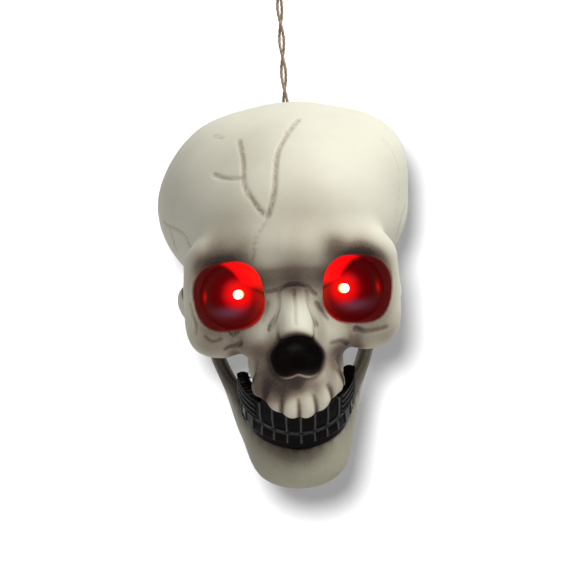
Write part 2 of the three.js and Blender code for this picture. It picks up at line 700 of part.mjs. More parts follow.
// Spring pins and the lugs that carry the upper ones
const springFoot = vec(SPRING_X, ...SPRING_FOOT);
const springHead = springFoot.clone().addScaledVector(upright, SPRING_LENGTH);
const pin = (at, from, to, side) => {
  const profile = [
    [0, from], [SPRING_PIN_RADIUS, from], [SPRING_PIN_RADIUS, to], [0, to],
  ];
  const lie = towards(vec(0, at.y, at.z), vec(1, at.y, at.z));
  return turned(profile, side.clone().multiply(lie), 10);
};
const upperPins = bothSides((side) => pin(springHead, SPRING_X - 4.5, SPRING_X + 2.4, side));
const lugs = bothSides((side) => {
  const foot = springHead.clone().setX(SPRING_X - 4.3).addScaledVector(upright, -3);
  const lie = side.clone().multiply(towards(foot, foot.clone().add(upright)));
  const body = new THREE.BoxGeometry(3, 7, 24).translate(0, 0, 12);
  return solidOf(body, lie);
});
const lowerPins = bothSides((side) => pin(springFoot, SPRING_X - 2.4, SPRING_X + 9, side));

// Shell screws: wells from the back, bosses behind the face
const shellScrewSpots = SHELL_SCREW_HEIGHTS.flatMap((z) =>
  [1, -1].map((side) => vec(skinSide(side, SPLIT_Y, z) - side * (WALL + 4), SPLIT_Y, z)));
const along = vec(0, 1, 0);
const shellScrews = shellScrewSpots.map((spot) => {
  const seat = spot.clone().addScaledVector(along, SCREW_SEAT + CLEARANCE);
  const profile = screwProfile(SCREW_HEAD_RADIUS, SCREW_HEAD_HEIGHT, SCREW_RADIUS, SCREW_LENGTH);
  return turned(profile, towards(seat, seat.clone().add(along)), 10);
});
const screwLine = (radius, from, to, sides) => shellScrewSpots.map((spot) => {
  const start = spot.clone().addScaledVector(along, from);
  return cylinder(start, spot.clone().addScaledVector(along, to), radius, sides);
});
const pillars = screwLine(SCREW_HEAD_RADIUS + SCREW_PILLAR_WALL, -14, WELL_REACH - 10, 10);
const wells = screwLine(SCREW_HEAD_RADIUS + 0.5, SCREW_SEAT, WELL_REACH, 10);
const wellPilots = screwLine(SCREW_RADIUS + CLEARANCE, -11, 6, 8);

// Twine hole through the crown
const cordHole = cylinder(
  crown.clone().addScaledVector(upright, -10),
  crown.clone().addScaledVector(upright, 10),
  CORD_HOLE_RADIUS,
  20,
);

// Flat seat for the washer under the crown
const washerSeat = cylinder(
  crown.clone().addScaledVector(upright, -WALL - 14),
  crown.clone().addScaledVector(upright, -WALL),
  WASHER_RADIUS + 1,
  20,
);

// Battery pad: the underside is flattened there, and walled and opened for the tray
const flangeTop = PAD.bottom - CLEARANCE;
const flangeBottom = flangeTop - BOX_FLANGE.thickness;
const pad = block(-PAD.halfX, PAD.halfX, PAD.fromY, PAD.toY, PAD.bottom, PAD.top);
const belowPad = block(-PAD.halfX, PAD.halfX, PAD.fromY, PAD.toY, PAD.bottom - 30, PAD.bottom);
const padFloor = block(-PAD.halfX, PAD.halfX, PAD.fromY, PAD.toY, PAD.bottom, PAD.bottom + WALL);
const roomHalf = PAD.halfX - WALL;
const padRoom = block(-roomHalf, roomHalf, PAD.fromY + WALL, PAD.toY - WALL, PAD.bottom, PAD.top + 8);
const openHalf = TRAY.halfX + CLEARANCE;
const openTo = SWITCH.y + SWITCH.halfY + CLEARANCE;
const padOpening = block(-openHalf, openHalf, TRAY.fromY - CLEARANCE, openTo, PAD.bottom - 1, PAD.top);
const boxScrewSpots = [vec(BOX_SCREW[0], BOX_SCREW[1], 0), vec(-BOX_SCREW[0], BOX_SCREW[1], 0)];
const doorScrewSpot = vec(...DOOR_SCREW, 0);
const upPost = (spot, from, to, radius, sides) =>
  cylinder(spot.clone().setZ(from), spot.clone().setZ(to), radius, sides);
const postRadius = SMALL_SCREW_RADIUS + POST_WALL;
const boxPosts = boxScrewSpots.map((spot) => upPost(spot, PAD.bottom, PAD.bottom + 9, postRadius, 12));
const boxPilots = boxScrewSpots.map((spot) =>
  upPost(spot, PAD.bottom - 1, PAD.bottom + 7, SMALL_SCREW_RADIUS + CLEARANCE, 10));

// Whole shell, then its two halves
const outside = join(skin, arches, roots, hingeBosses, lugs, upperPins, pad)
  .subtract(join(tunnels, noses, belowLip, palate, upperRoom, fossae, belowPad));
const hollow = cavity
  .add(padRoom)
  .subtract(join(tunnelWalls, fossaWalls, hingeBosses, pillars, padFloor, boxPosts));
const shell = outside
  .subtract(hollow)
  .subtract(join(bowlRooms, hingePilots, wells, wellPilots, padOpening, boxPilots, cordHole, washerSeat));
const faceShell = shell.trimByPlane([0, -1, 0], -(SPLIT_Y - CLEARANCE / 2));
const rearShell = shell.trimByPlane([0, 1, 0], SPLIT_Y + CLEARANCE / 2);

// Jaw with its hinge eyes, pins and tooth groove
const hingeEyes = bothSides((side) => {
  const width = JAW_EYE_OUTER - JAW_EYE_INNER;
  const profile = [[0, 0], [JAW_EYE_RADIUS, 0], [JAW_EYE_RADIUS, width], [0, width]];
  return turned(profile, alongHinge(side, JAW_EYE_INNER), 24);
});
const eyeHoles = bothSides((side) => {
  const radius = PIVOT_SHOULDER_RADIUS + CLEARANCE;
  const profile = [[0, 0], [radius, 0], [radius, 16], [0, 16]];
  return turned(profile, alongHinge(side, JAW_EYE_INNER - 4), 20);
});
const jaw = join(jawSweep(), hingeEyes, lowerPins).subtract(join(eyeHoles, lowerRoom, aboveGum));

// Pivot screws: thread in the boss, shoulder in the jaw's eye, head outside
const shoulderEnd = JAW_EYE_OUTER + CLEARANCE;
const pivotProfile = [
  [0, bossEnd - 11],
  [PIVOT_THREAD_RADIUS, bossEnd - 10],
  [PIVOT_THREAD_RADIUS, JAW_EYE_INNER],
  [PIVOT_SHOULDER_RADIUS, JAW_EYE_INNER],
  [PIVOT_SHOULDER_RADIUS, shoulderEnd],
  [PIVOT_HEAD_RADIUS, shoulderEnd],
  [PIVOT_HEAD_RADIUS, shoulderEnd + 1.4],
  [PIVOT_HEAD_RADIUS * 0.7, shoulderEnd + 2.3],
  [0, shoulderEnd + 2.3],
];
const pivots = bothSides((side) =>
  turned(pivotProfile, alongHinge(side, 0), 12));

// Springs along the upright line from the jaw's pin to the skull's
const springPoints = springRoute(SPRING_LENGTH);
const springs = bothSides((side) => {
  const lie = side.clone().multiply(towards(springFoot, springHead));
  return tube(springPoints, SPRING_WIRE_RADIUS, 5, lie);
});
const springGap = leastGap(springPoints, SPRING_WIRE_RADIUS, 5);

// Lamps, their holders and their leads
const lampBase = bowlBack - BOWL_WALL - CLEARANCE;
const lampProfile = [
  [0, lampBase - 1],
  [LED_RADIUS + 0.45, lampBase - 1],
  [LED_RADIUS + 0.45, lampBase],
  [LED_RADIUS, lampBase],
  [LED_RADIUS, lampBase + LED_LENGTH - 1 - LED_RADIUS],
  [LED_RADIUS * 0.87, lampBase + LED_LENGTH - 1 - LED_RADIUS * 0.5],
  [LED_RADIUS * 0.5, lampBase + LED_LENGTH - 1 - LED_RADIUS * 0.13],
  [0, lampBase + LED_LENGTH - 1],
];
const lamps = bothSides((side) => turned(lampProfile, inOrbit(side), 12));
const holderBack = lampBase - HOLDER_LENGTH;
const holderBore = LED_RADIUS + 0.45 + CLEARANCE;
const holderProfile = [
  [HOLDER_RADIUS, lampBase],
  [holderBore, lampBase],
  [holderBore, lampBase - 1 - CLEARANCE],
  [LEAD_RADIUS + 0.5, lampBase - 1 - CLEARANCE],
  [LEAD_RADIUS + 0.5, holderBack],
  [HOLDER_RADIUS, holderBack],
  [HOLDER_RADIUS, lampBase],
];
const holders = bothSides((side) => turned(holderProfile, inOrbit(side), 12));
const switchTop = flangeTop + CLEARANCE + SWITCH.height;

function lead(route, steps) {
  const curve = new THREE.CatmullRomCurve3(route, false, 'centripetal');
  return tube(curve.getPoints(steps), LEAD_RADIUS, 5);
}

const lampLead = (side, slot) => {
  const start = vec(0, 0, lampBase - 1 - CLEARANCE - 0.6).applyMatrix4(inOrbit(side));
  const behind = vec(0, 0, holderBack - 4).applyMatrix4(inOrbit(side));
  const sign = Math.sign(start.x);
  const end = vec(SWITCH.x + slot, SWITCH.y, switchTop + CLEARANCE);
  const over = end.clone().setZ(PAD.top - 2);
  return lead([start, behind, vec(20 * sign, -8, 2), vec(15 * sign, 24, 2), over, end], 20);
};
const leads = [lampLead(matrix(), 0), lampLead(MIRROR, -LEAD_PITCH)];

// Battery box: tray, flange with door recess and tab, screw boss and switch slot
const doorTop = flangeBottom + DOOR.thickness;
const recessTop = doorTop + CLEARANCE;
const cellZ = recessTop + CLEARANCE + CELL_RADIUS;
const trayInside = cellZ + CELL_RADIUS + CLEARANCE;
const trayY = (TRAY.fromY + TRAY.toY) / 2;
const innerHalf = TRAY.halfX - TRAY_WALL;
const doorPlate = (grow, bottom, top) => join(
  block(-DOOR.halfX - grow, DOOR.halfX + grow, DOOR.fromY - grow, DOOR.toY + grow, bottom, top),
  block(DOOR.tabFrom - grow, DOOR.tabTo + grow, DOOR.toY - 2, DOOR.tabY + grow, bottom, top),
);
const switchBlock = (x, halfX, halfY, bottom, top) =>
  block(x - halfX, x + halfX, SWITCH.y - halfY, SWITCH.y + halfY, bottom, top);
const knobRoom = SWITCH.knobHalfX + SWITCH.travel / 2 + CLEARANCE;
const slotHalfY = SWITCH.knobHalfY + CLEARANCE;
const leadHole = vec(innerHalf - 1.9, trayY + CELL_PITCH / 2, 0);
const seatZ = flangeBottom + SMALL_SCREW_HEAD_HEIGHT + 0.2;
const batteryBox = join(
  block(-TRAY.halfX, TRAY.halfX, TRAY.fromY, TRAY.toY, flangeTop - 0.5, trayInside + TRAY_WALL),
  block(-BOX_FLANGE.halfX, BOX_FLANGE.halfX, BOX_FLANGE.fromY, BOX_FLANGE.toY, flangeBottom, flangeTop),
  upPost(doorScrewSpot, flangeTop - 0.5, flangeTop + 6, postRadius, 12),
).subtract(join(
  block(-innerHalf, innerHalf, TRAY.fromY + TRAY_WALL, TRAY.toY - TRAY_WALL, flangeBottom - 1, trayInside),
  doorPlate(CLEARANCE, flangeBottom - 1, recessTop),
  switchBlock(SWITCH.x, knobRoom, slotHalfY, flangeBottom - 1, flangeTop + 1),
  upPost(doorScrewSpot, recessTop - 1, flangeTop + 5, SMALL_SCREW_RADIUS + CLEARANCE, 10),
  upPost(leadHole, trayInside - 1, trayInside + 3, LEAD_RADIUS + CLEARANCE, 10),
  boxScrewSpots.map((spot) =>
    upPost(spot, flangeBottom - 1, seatZ, SMALL_SCREW_HEAD_RADIUS + CLEARANCE, 12)),
  boxScrewSpots.map((spot) =>
    upPost(spot, flangeBottom - 1, flangeTop + 1, SMALL_SCREW_RADIUS + CLEARANCE, 10)),
));
const door = doorPlate(0, flangeBottom, doorTop).subtract(join(
  upPost(doorScrewSpot, flangeBottom - 1, doorTop + 1, SMALL_SCREW_RADIUS + CLEARANCE, 10),
  upPost(doorScrewSpot, flangeBottom - 1, flangeBottom + 0.7, SMALL_SCREW_HEAD_RADIUS + CLEARANCE, 12),
));
const smallScrew = (spot, seat) => {
  const height = SMALL_SCREW_HEAD_HEIGHT;
  const profile = screwProfile(SMALL_SCREW_HEAD_RADIUS, height, SMALL_SCREW_RADIUS, SMALL_SCREW_LENGTH);
  const from = spot.clone().setZ(seat - CLEARANCE);
  return turned(profile, towards(from, from.clone().add(vec(0, 0, -1))), 10);
};

// Cells, one each way round, with a coil at each flat end
const nubEnd = CONTACT_REACH - CLEARANCE;
const flatEnd = nubEnd - CELL_LENGTH;
const cellProfile = [
  [0, flatEnd],
  [CELL_RADIUS, flatEnd],
  [CELL_RADIUS, nubEnd - CELL_NUB_LENGTH],
  [CELL_NUB_RADIUS, nubEnd - CELL_NUB_LENGTH],
  [CELL_NUB_RADIUS, nubEnd],
  [0, nubEnd],
];
const cellLie = (way) => {
  const from = vec(0, trayY - (way * CELL_PITCH) / 2, cellZ);
  return towards(from, from.clone().add(vec(way, 0, 0)));
};
const cells = [1, -1].map((way) => turned(cellProfile, cellLie(way), 16));
const coilPoints = Array.from({ length: CONTACT_TURNS * 8 + 1 }, (_, k) => {
  const share = k / (CONTACT_TURNS * 8);
  const radius = THREE.MathUtils.lerp(3.6, 2.4, share);
  const from = -CONTACT_REACH + CLEARANCE + CONTACT_WIRE_RADIUS;
  const to = flatEnd - CLEARANCE - CONTACT_WIRE_RADIUS;
  const angle = 2 * Math.PI * CONTACT_TURNS * share;
  return vec(radius * Math.cos(angle), radius * Math.sin(angle), THREE.MathUtils.lerp(from, to, share));
});
const coils = [1, -1].map((way) => tube(coilPoints, CONTACT_WIRE_RADIUS, 5, cellLie(way)));
const coilGap = leastGap(coilPoints, CONTACT_WIRE_RADIUS, 8);
const plateOuter = CONTACT_REACH + CONTACT_THICKNESS;
const contact = (x0, x1, y0, y1) => block(x0, x1, y0, y1, cellZ - 4, cellZ + 4);
const bridge = contact(-plateOuter, -CONTACT_REACH, trayY - 9.5, trayY + 9.5);
const terminals = [-1, 1].map((way) => {
  const y = trayY + (way * CELL_PITCH) / 2;
  return contact(CONTACT_REACH, plateOuter, y - 4, y + 4);
});
const batteryLead = lead([
  leadHole.clone().setZ(trayInside - 0.4),
  leadHole.clone().setZ(trayInside + 5),
  vec(SWITCH.x + 14, SWITCH.y - 3, trayInside + 5),
  vec(SWITCH.x + LEAD_PITCH, SWITCH.y, switchTop + 4),
  vec(SWITCH.x + LEAD_PITCH, SWITCH.y, switchTop + CLEARANCE),
], 14);

// Switch body on the flange and its knob through the slot
const switchBody = switchBlock(SWITCH.x, SWITCH.halfX, SWITCH.halfY, switchTop - SWITCH.height, switchTop);
const knobX = SWITCH.x + SWITCH.travel / 2;
const knobBottom = flangeBottom - SWITCH.knobReach;
const switchKnob = switchBlock(knobX, SWITCH.knobHalfX, SWITCH.knobHalfY, knobBottom, flangeTop);

// Twine in the hung frame: up one strand, round the loop and down the other
const washerTop = -CORD_RISE - WALL - CLEARANCE;
const knotTop = washerTop - WASHER_THICKNESS - CLEARANCE;
const strandFoot = knotTop + CLEARANCE;

function cordRoute() {
  const steps = 20;
  const strand = (side) => Array.from({ length: steps + 1 }, (_, k) => {
    const z = THREE.MathUtils.lerp(strandFoot, -LOOP_LENGTH, k / steps);
    const angle = (2 * Math.PI * (-LOOP_LENGTH - z)) / TWIST_PITCH;
    return vec(side * TWIST_RADIUS * Math.cos(angle), side * TWIST_RADIUS * Math.sin(angle), z);
  });
  const top = STRAND_RADIUS - LOOP_RADIUS;
  const rise = top + LOOP_LENGTH;
  const loop = [];
  for (let k = 1; k < 6; k++) {
    const share = k / 6;
    const ease = share * share * (3 - 2 * share);
    loop.push(vec(THREE.MathUtils.lerp(TWIST_RADIUS, LOOP_RADIUS, ease), 0, -LOOP_LENGTH + rise * share));
  }
  for (let k = 0; k <= 12; k++) {
    const angle = (Math.PI * k) / 12;
    loop.push(vec(LOOP_RADIUS * Math.cos(angle), 0, top + LOOP_RADIUS * Math.sin(angle)));
  }
  for (let k = 4; k >= 0; k--) loop.push(vec(-loop[k].x, 0, loop[k].z));
  return [...strand(1), ...loop, ...strand(-1).reverse()];
}

const cordPoints = cordRoute();
const cord = tube(cordPoints, STRAND_RADIUS, 6);
const cordGap = leastGap(cordPoints, STRAND_RADIUS, 12);
const washerProfile = [
  [WASHER_RADIUS, washerTop],
  [CORD_HOLE_RADIUS - 0.6, washerTop],
  [CORD_HOLE_RADIUS - 0.6, washerTop - WASHER_THICKNESS],
  [WASHER_RADIUS, washerTop - WASHER_THICKNESS],
  [WASHER_RADIUS, washerTop],
];
const washer = turned(washerProfile, matrix(), 16);
const knotShape = {
  at: [0, 0, knotTop - KNOT_RADIUS],
  radii: [KNOT_RADIUS * 1.1, KNOT_RADIUS, KNOT_RADIUS],
};
const knot = ball(knotShape, 1, 0, 10, 7);

// Pieces by name; those of the twine are already in the hung frame
const SIDES = ['right', 'left'];
const pieces = [];
const add = (name, solid, slot) => pieces.push({ name, solid, slot, placement: headPlacement });
const addHung = (name, solid, slot) => pieces.push({ name, solid, slot, placement: matrix() });
const addPair = (name, solids, slot) =>
  solids.forEach((solid, i) => add(`${name}_${SIDES[i]}`, solid, slot));
const addRow = (name, solids, slot) =>
  solids.forEach((solid, i) => add(`${name}_${i + 1}`, solid, slot));
add('face_shell', faceShell, 'bone');
add('rear_shell', rearShell, 'bone');
add('jaw', jaw, 'bone');
add('upper_teeth', upperInsert, 'teeth');
add('lower_teeth', lowerInsert, 'teeth');
addPair('eye_bowl', bowls, 'bowl');
addPair('led', lamps, 'lamp');
addPair('led_holder', holders, 'black');
addPair('lead', leads, 'wire');
add('battery_lead', batteryLead, 'wire');
addPair('jaw_pivot', pivots, 'steel');
addPair('jaw_spring', springs, 'steel');
addRow('shell_screw', shellScrews, 'steel');
add('battery_box', batteryBox, 'black');
addRow('battery_box_screw', boxScrewSpots.map((spot) => smallScrew(spot, seatZ)), 'steel');
addRow('battery', cells, 'cell');
add('contact_bridge', bridge, 'contact');
addRow('contact_terminal', terminals, 'contact');
addRow('contact_spring', coils, 'contact');
add('battery_door', door, 'black');
add('battery_door_screw', smallScrew(doorScrewSpot, flangeBottom + 0.7), 'steel');
add('switch_body', switchBody, 'black');
add('switch_knob', switchKnob, 'black');
addHung('hanging_cord', cord, 'twine');
addHung('cord_washer', washer, 'steel');
addHung('cord_knot', knot, 'twine');
const gaps = { 'jaw spring': springGap, 'contact coil': coilGap, twine: cordGap };
for (const [name, gap] of Object.entries(gaps)) console.log(`least gap, ${name}: ${gap.toFixed(2)} mm`);

// Colours by slot
const SLOTS = {
  bone: { color: 0xd8d4c0, roughness: 0.55, metalness: 0 },
  teeth: { color: 0x0c0a09, roughness: 0.35, metalness: 0 },
  bowl: { color: 0x8a0808, roughness: 0.25, metalness: 0 },
  lamp: { color: 0xf4e2c8, roughness: 0.15, metalness: 0 },
  black: { color: 0x1a1a1a, roughness: 0.6, metalness: 0 },
  wire: { color: 0x7c1414, roughness: 0.6, metalness: 0 },
  steel: { color: 0xb8bcc0, roughness: 0.35, metalness: 0.9 },
  contact: { color: 0xcfd0cc, roughness: 0.3, metalness: 0.9 },
  cell: { color: 0x3a4a58, roughness: 0.4, metalness: 0.3 },
  twine: { color: 0x8f7a62, roughness: 0.95, metalness: 0 },
};

const group = new THREE.Group();
for (const { name, solid, slot, placement } of pieces) {
  const mesh = solid.getMesh();
  const geometry = new THREE.BufferGeometry();
  geometry.setAttribute('position', new THREE.BufferAttribute(mesh.vertProperties, 3));
  geometry.setIndex(new THREE.BufferAttribute(mesh.triVerts, 1));
  geometry.applyMatrix4(placement);
  geometry.computeVertexNormals();
  const piece = new THREE.Mesh(geometry, new THREE.MeshStandardMaterial(SLOTS[slot]));
  piece.name = name;
  group.add(piece);
}
export default group;
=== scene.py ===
import json
import math

import bmesh
import bpy
import numpy as np
from mathutils import Matrix, Vector


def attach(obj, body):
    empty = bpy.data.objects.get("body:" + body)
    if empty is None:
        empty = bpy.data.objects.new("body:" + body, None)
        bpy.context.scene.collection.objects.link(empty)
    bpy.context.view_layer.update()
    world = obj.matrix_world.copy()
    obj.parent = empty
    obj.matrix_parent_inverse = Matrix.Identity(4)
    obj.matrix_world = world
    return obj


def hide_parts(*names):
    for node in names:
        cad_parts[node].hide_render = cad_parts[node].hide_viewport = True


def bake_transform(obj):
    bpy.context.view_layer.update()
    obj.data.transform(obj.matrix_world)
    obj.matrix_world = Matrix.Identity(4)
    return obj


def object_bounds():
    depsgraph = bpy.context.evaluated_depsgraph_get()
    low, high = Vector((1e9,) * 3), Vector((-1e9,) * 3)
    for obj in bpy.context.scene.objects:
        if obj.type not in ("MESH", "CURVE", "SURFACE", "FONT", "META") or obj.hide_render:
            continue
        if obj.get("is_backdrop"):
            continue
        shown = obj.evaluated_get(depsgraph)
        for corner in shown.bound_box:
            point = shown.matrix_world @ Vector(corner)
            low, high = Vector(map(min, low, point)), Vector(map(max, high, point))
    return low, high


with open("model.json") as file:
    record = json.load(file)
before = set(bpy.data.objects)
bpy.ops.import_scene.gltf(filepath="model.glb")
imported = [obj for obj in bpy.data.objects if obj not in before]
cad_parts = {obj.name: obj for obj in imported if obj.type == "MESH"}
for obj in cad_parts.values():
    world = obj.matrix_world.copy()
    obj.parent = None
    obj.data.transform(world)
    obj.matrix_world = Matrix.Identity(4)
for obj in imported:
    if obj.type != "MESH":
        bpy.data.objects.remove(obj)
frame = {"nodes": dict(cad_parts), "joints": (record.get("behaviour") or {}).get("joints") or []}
CAD_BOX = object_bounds()

# Sizes are in millimetres in the skull's own frame: level on the ear-to-eye-socket plane,
# origin midway between the ears, face towards -Y. Angles are in degrees.
MM = 0.001
FINE_CELL = 0.85
REAR_CELL = 1.0
JAW_CELL = 0.8
TOOTH_CELL = 0.45
MOST_TRIANGLES = 190000
CHUNK = 20000
FAR_AWAY = 190

# Shell
WALL = 2.4
MESHED_WALL = 4
GAP = 0.3
SPLIT_Y = 18
VAULT = ([0, 14, 46], [71, 78, 56])
PARIETAL = ([34, 14, 64], [30, 48, 28])
CROWN_LEAN = 6
LEAN_HEIGHTS = (46, 88)
FOREHEAD = ([0, -36, 45], [51, 42, 42])
SKULL_BASE = ([0, 22, 6], [52, 60, 30])
MASTOID = ([44, 31, -12], [10, 12, 14])
MIDFACE = ([0, -34, 10], [55, 30, 30])
ORBIT_BLOCK = ([32, -58, 13], [22, 14, 20])
CHEEKBONE = ([42, -57, -8], [12, 13, 11])
CHEEK_FOOT = ([46.5, -54, -12], [37, -60, -13], 4.5)
MAXILLA = ([0, -58, -24], [25, 23, 22])
ALVEOLUS = ([0, -60, -42], [25, 23, 16])
BROW = ([5, -75, 40], [42, -63, 35], 7.5, 4)
ORBIT_SIDE = ([48, -57, 29], [48.5, -56, 0], 6)
NASAL_BONE = ([0, -67, 17], [0, -83, -3], 8.5)
NASAL_SIDE = ([14, -67, 16], [19, -69, -10], 7)
SKIN_BLEND = 12
VAULT_MASSES = (PARIETAL, FOREHEAD, SKULL_BASE, MASTOID, MIDFACE)
FACE_MASSES = (ORBIT_BLOCK, CHEEKBONE, MAXILLA, ALVEOLUS)
RIDGES = (BROW, ORBIT_SIDE, CHEEK_FOOT, NASAL_BONE, NASAL_SIDE)
ARCH_ROUTE = [[45, -50, -6], [54, -40, -3], [59, -24, 0], [58, -6, 1], [50, 8, 2]]
ARCH_HALF = (2.8, 4.5)
SKULL_LOW = [-77.0, -101.0, -60.0]
SKULL_HIGH = [77.0, 97.0, 107.0]

# Eye sockets
ORBIT_AT = np.array([32.5, -66, 14])
ORBIT_TURN = math.radians(11)
ORBIT_PITCH = math.radians(13)
ORBIT_DROOP = math.radians(-8)
ORBIT_HALF = (18.2, 17.4)
TUNNEL_MOUTH = 26
TUNNEL_DEPTH = 4.5
TUNNEL_FLARE = (1.14, 1.12)
TUNNEL_BACK = -60
BOWL_RADIUS = 17.6
BOWL_DEPTH = 17
BOWL_WALL = 1.3
FLANGE_WIDTH = 2
FLANGE_THICKNESS = 1.8
SEAT = -TUNNEL_DEPTH - WALL

# Nose opening
NOSE_LOBE = ([6, -84, -18.6], [7.8, 18, 8.2])
NOSE_PEAK = ([0, -84, -12], [8.8, 18, 10.4])
NOSE_DEEP = ([0, -76, -17], [11, 15, 8.5])

# Teeth
INCISAL = np.array([0, -83, -57.5])
BITE_RISE = math.radians(18)
TEETH = 12
ARCH_SWEEP = math.radians(80)
UPPER = dict(half=29, depth=36, inset=3.4, tip=0, lip=9.5, root=14)
LOWER = dict(half=28, depth=35, inset=4.6, tip=-0.6, lip=-8.5, root=-13)
TOOTH_HALF_DEPTH = 3.2
ROOTS = 6
ROOT_PITCH = 0.195
ROOT_SHIFT = -0.015
ROOT_RADIUS = 5
ROOT_INSET = -0.6
ROOT_LENGTH = 20
ROOT_UPRIGHT = 3
ROOT_LEAN = 0.05
LIP_SHARE = 0.54
ROOT_HALF_DEPTH = 1.7
LIP_HALF_DEPTH = 3.4
LIP_CURVE = 7.5
LIP_SPAN = 18.6
LIP_END = LIP_SPAN + 1
TOOTH_DIP = 2
RIBS = 4
RIB_SHARE = LIP_SHARE + 0.04
ROW_END = 0.6
PALATE = ([0, -54, -44], [17, 18, 13])

# Lower jaw: stations of x, y, upper edge, height and thickness
HINGE = np.array([0, -6, -8])
CHIN_HEIGHT = 27
JAW_STATIONS = [
    (45, -6, -0.5, 11, 6),
    (45, -6, -7, 14, 6.2),
    (43, -11, -20, 24, 7.8),
    (34, -21, -39, 30, 8.4),
    (26.5, -42, -54.5, CHIN_HEIGHT, 10),
    (16, -63, -64.5, CHIN_HEIGHT, 13),
    (0, -71.5, -66, CHIN_HEIGHT, 14),
]
JAW_EYE_RADIUS = 6.5
JAW_EYE = (42, 48)
EYE_HOLE_RADIUS = 3.3
SPRING_X = 22.5
SPRING_FOOT = np.array([-30, -58])
SPRING_PIN_RADIUS = 1.2
SPRING_PIN_END = 2.4

# Marks on the front, by x and by height in the plane square to the line of sight,
# each with its half width and depth
SIGHT_RISE = math.radians(14.42)
CRACKS = [
    ([(9.5, 89.6), (4.4, 83.4), (-1.4, 74.4), (-4, 68.7), (-5.9, 57.8), (-7, 49.9), (-9, 42.3),
      (-10.9, 36.8)], 1.2, 1.5),
    ([(-10.9, 36.8), (-13.8, 38.5), (-18.4, 45.6), (-21.6, 52.1), (-22.3, 57.5), (-21.8, 64.7),
      (-22.3, 73.5), (-23, 79.7)], 1.1, 1.4),
    ([(-22.6, 57.6), (-31.6, 58.5), (-37.7, 61.6)], 1.1, 1.2),
    ([(-10.9, 36.8), (-13.2, 32.4), (-17, 27.6), (-18.8, 22.6), (-19.8, 15)], 0.7, 0.5),
    ([(-36.3, 84.3), (-32, 82.2)], 1.0, 0.7),
]
SUTURES = [
    ([(-14.6, -1.6), (-6.9, -0.5), (-3.3, 1.3), (5.9, 0.7), (10.8, -4.2)], 0.8, 0.6),
    ([(0.1, -1.5), (0.1, -9.1), (-0.4, -18.7)], 0.8, 0.7),
    ([(-7.5, -1), (-8.6, -11.2), (-13.2, -21.3)], 1.1, 0.4),
    ([(6.8, -1.9), (7.4, -9.6), (10.6, -20.2)], 1.1, 0.4),
]

# Marks on the temples and cheeks, by their places in the skull frame
SIDE_MARKS = [
    ([(-67, -11, 44), (-58, -31, 43), (-54, -39, 41.5), (-52.5, -42, 36)], 1.0, 0.8),
    ([(-63, -20, 43), (-62, -21, 37), (-60.5, -19, 29)], 1.0, 0.8),
    ([(66, -14, 45), (62.5, -21, 38), (60, -20, 29)], 1.0, 0.8),
    ([(-53, -64, 11), (-52.5, -65, 5), (-51.5, -67, -0.5), (-51.7, -66, -5)], 0.9, 0.8),
    ([(-47, -69, -5.7), (-44, -70, -8.3), (-41.4, -70.5, -8.3), (-38.8, -70.4, -7.4)], 0.8, 0.8),
    ([(-33.4, -70, -4.6), (-31.9, -71, -5.6), (-30.2, -71, -4)], 0.7, 0.6),
    ([(-36.5, -69, -13.5), (-34.4, -69, -12.5), (-31.8, -70, -12.5), (-29, -72, -9.8)], 1.1, 0.5),
    ([(31.8, -71, -6.5), (35.5, -70, -8), (41.7, -71, -7.7), (47.8, -68.5, -7)], 1.2, 0.6),
    ([(18, -77, -11.3), (22.8, -76, -10.9), (27.2, -71, -14.2)], 1.1, 0.6),
    ([(11.2, -78, 10.8), (13.6, -77, 6.3), (16.5, -77, 1.7)], 1.1, 0.35),
    ([(-13.3, -77, 12.5), (-14.5, -76, 8), (-16.5, -77, 2.5)], 1.1, 0.35),
]
CORONAL_SUTURE = [(55, -16, 84), (60, -20, 75), (62.5, -21.6, 63), (61, -25.4, 50), (57.4, -31.7, 39)]
STITCHES = 15

# Airbrushed patches, and patches of painted shade where the form lies in shade: place, reach and strength
SPRAYS_AND_SHADE = [
    ((-26, -40, 92), 24, 0.14),
    ((8, -78, 60), 20, 0.22),
    ((-30, -70, 56), 16, 0.2),
    ((0, -79, 35), 13, 0.22),
    ((0, -77, 25), 10, 0.5),
    ((0, -75, 21), 7, 0.3),
    ((15, -74, 23), 9, 0.55),
    ((-14, -74, 24), 9, 0.5),
    ((14, -74, 9), 6, 0.45),
    ((-14, -74, 11), 6, 0.25),
    ((22, -78, 40), 8, 0.5),
    ((36, -73, 36), 9, 0.5),
    ((-47, -68, 34), 7, 0.25),
    ((-38, -72, 40), 10, 0.4),
    ((-24, -76, 42), 8, 0.3),
    ((-44, -68, -10), 13, 0.42),
    ((-28, -72, -12), 9, 0.35),
    ((-18, -77, -14), 8, 0.55),
    ((30, -70, -14), 10, 0.35),
    ((46, -66, -9), 11, 0.36),
    ((23, -74, -17), 9, 0.5),
    ((-24, -74, -22), 8, 0.1),
    ((-18, -75, -27), 6, 0.4),
    ((-17, -79, -32), 9, 0.88),
    ((-12, -82, -36), 6, 0.4),
    ((-8, -84, -33), 6, 0.55),
    ((-1, -83, -30), 6, 0.85),
    ((9, -82, -33), 6, 0.45),
    ((20, -78, -34), 6, 0.35),
    ((20, -75, -27), 9, 0.5),
    ((29, -70, -27), 6, 0.5),
    ((-29, -70, -27), 6, 0.35),
    ((-22, -76, -40), 7, 0.35),
    ((0, -86, -42), 14, 0.14),
]

# Where the skull hangs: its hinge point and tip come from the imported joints
joints = {joint["name"]: joint for joint in frame["joints"]}
door_way = joints["door_slide"]["axis"]
TIP = math.atan2(door_way[1], -door_way[2])
HEAD = Matrix.Translation(joints["jaw_hinge"]["pos_m"]) @ Matrix.Rotation(TIP, 4, "X")
HEAD = HEAD @ Matrix.Translation([-MM * value for value in HINGE])
HEAD_TURN = np.array(HEAD.to_3x3())
HEAD_SHIFT = np.array(HEAD.translation)
UPRIGHT = HEAD_TURN.T @ [0, 0, 1]


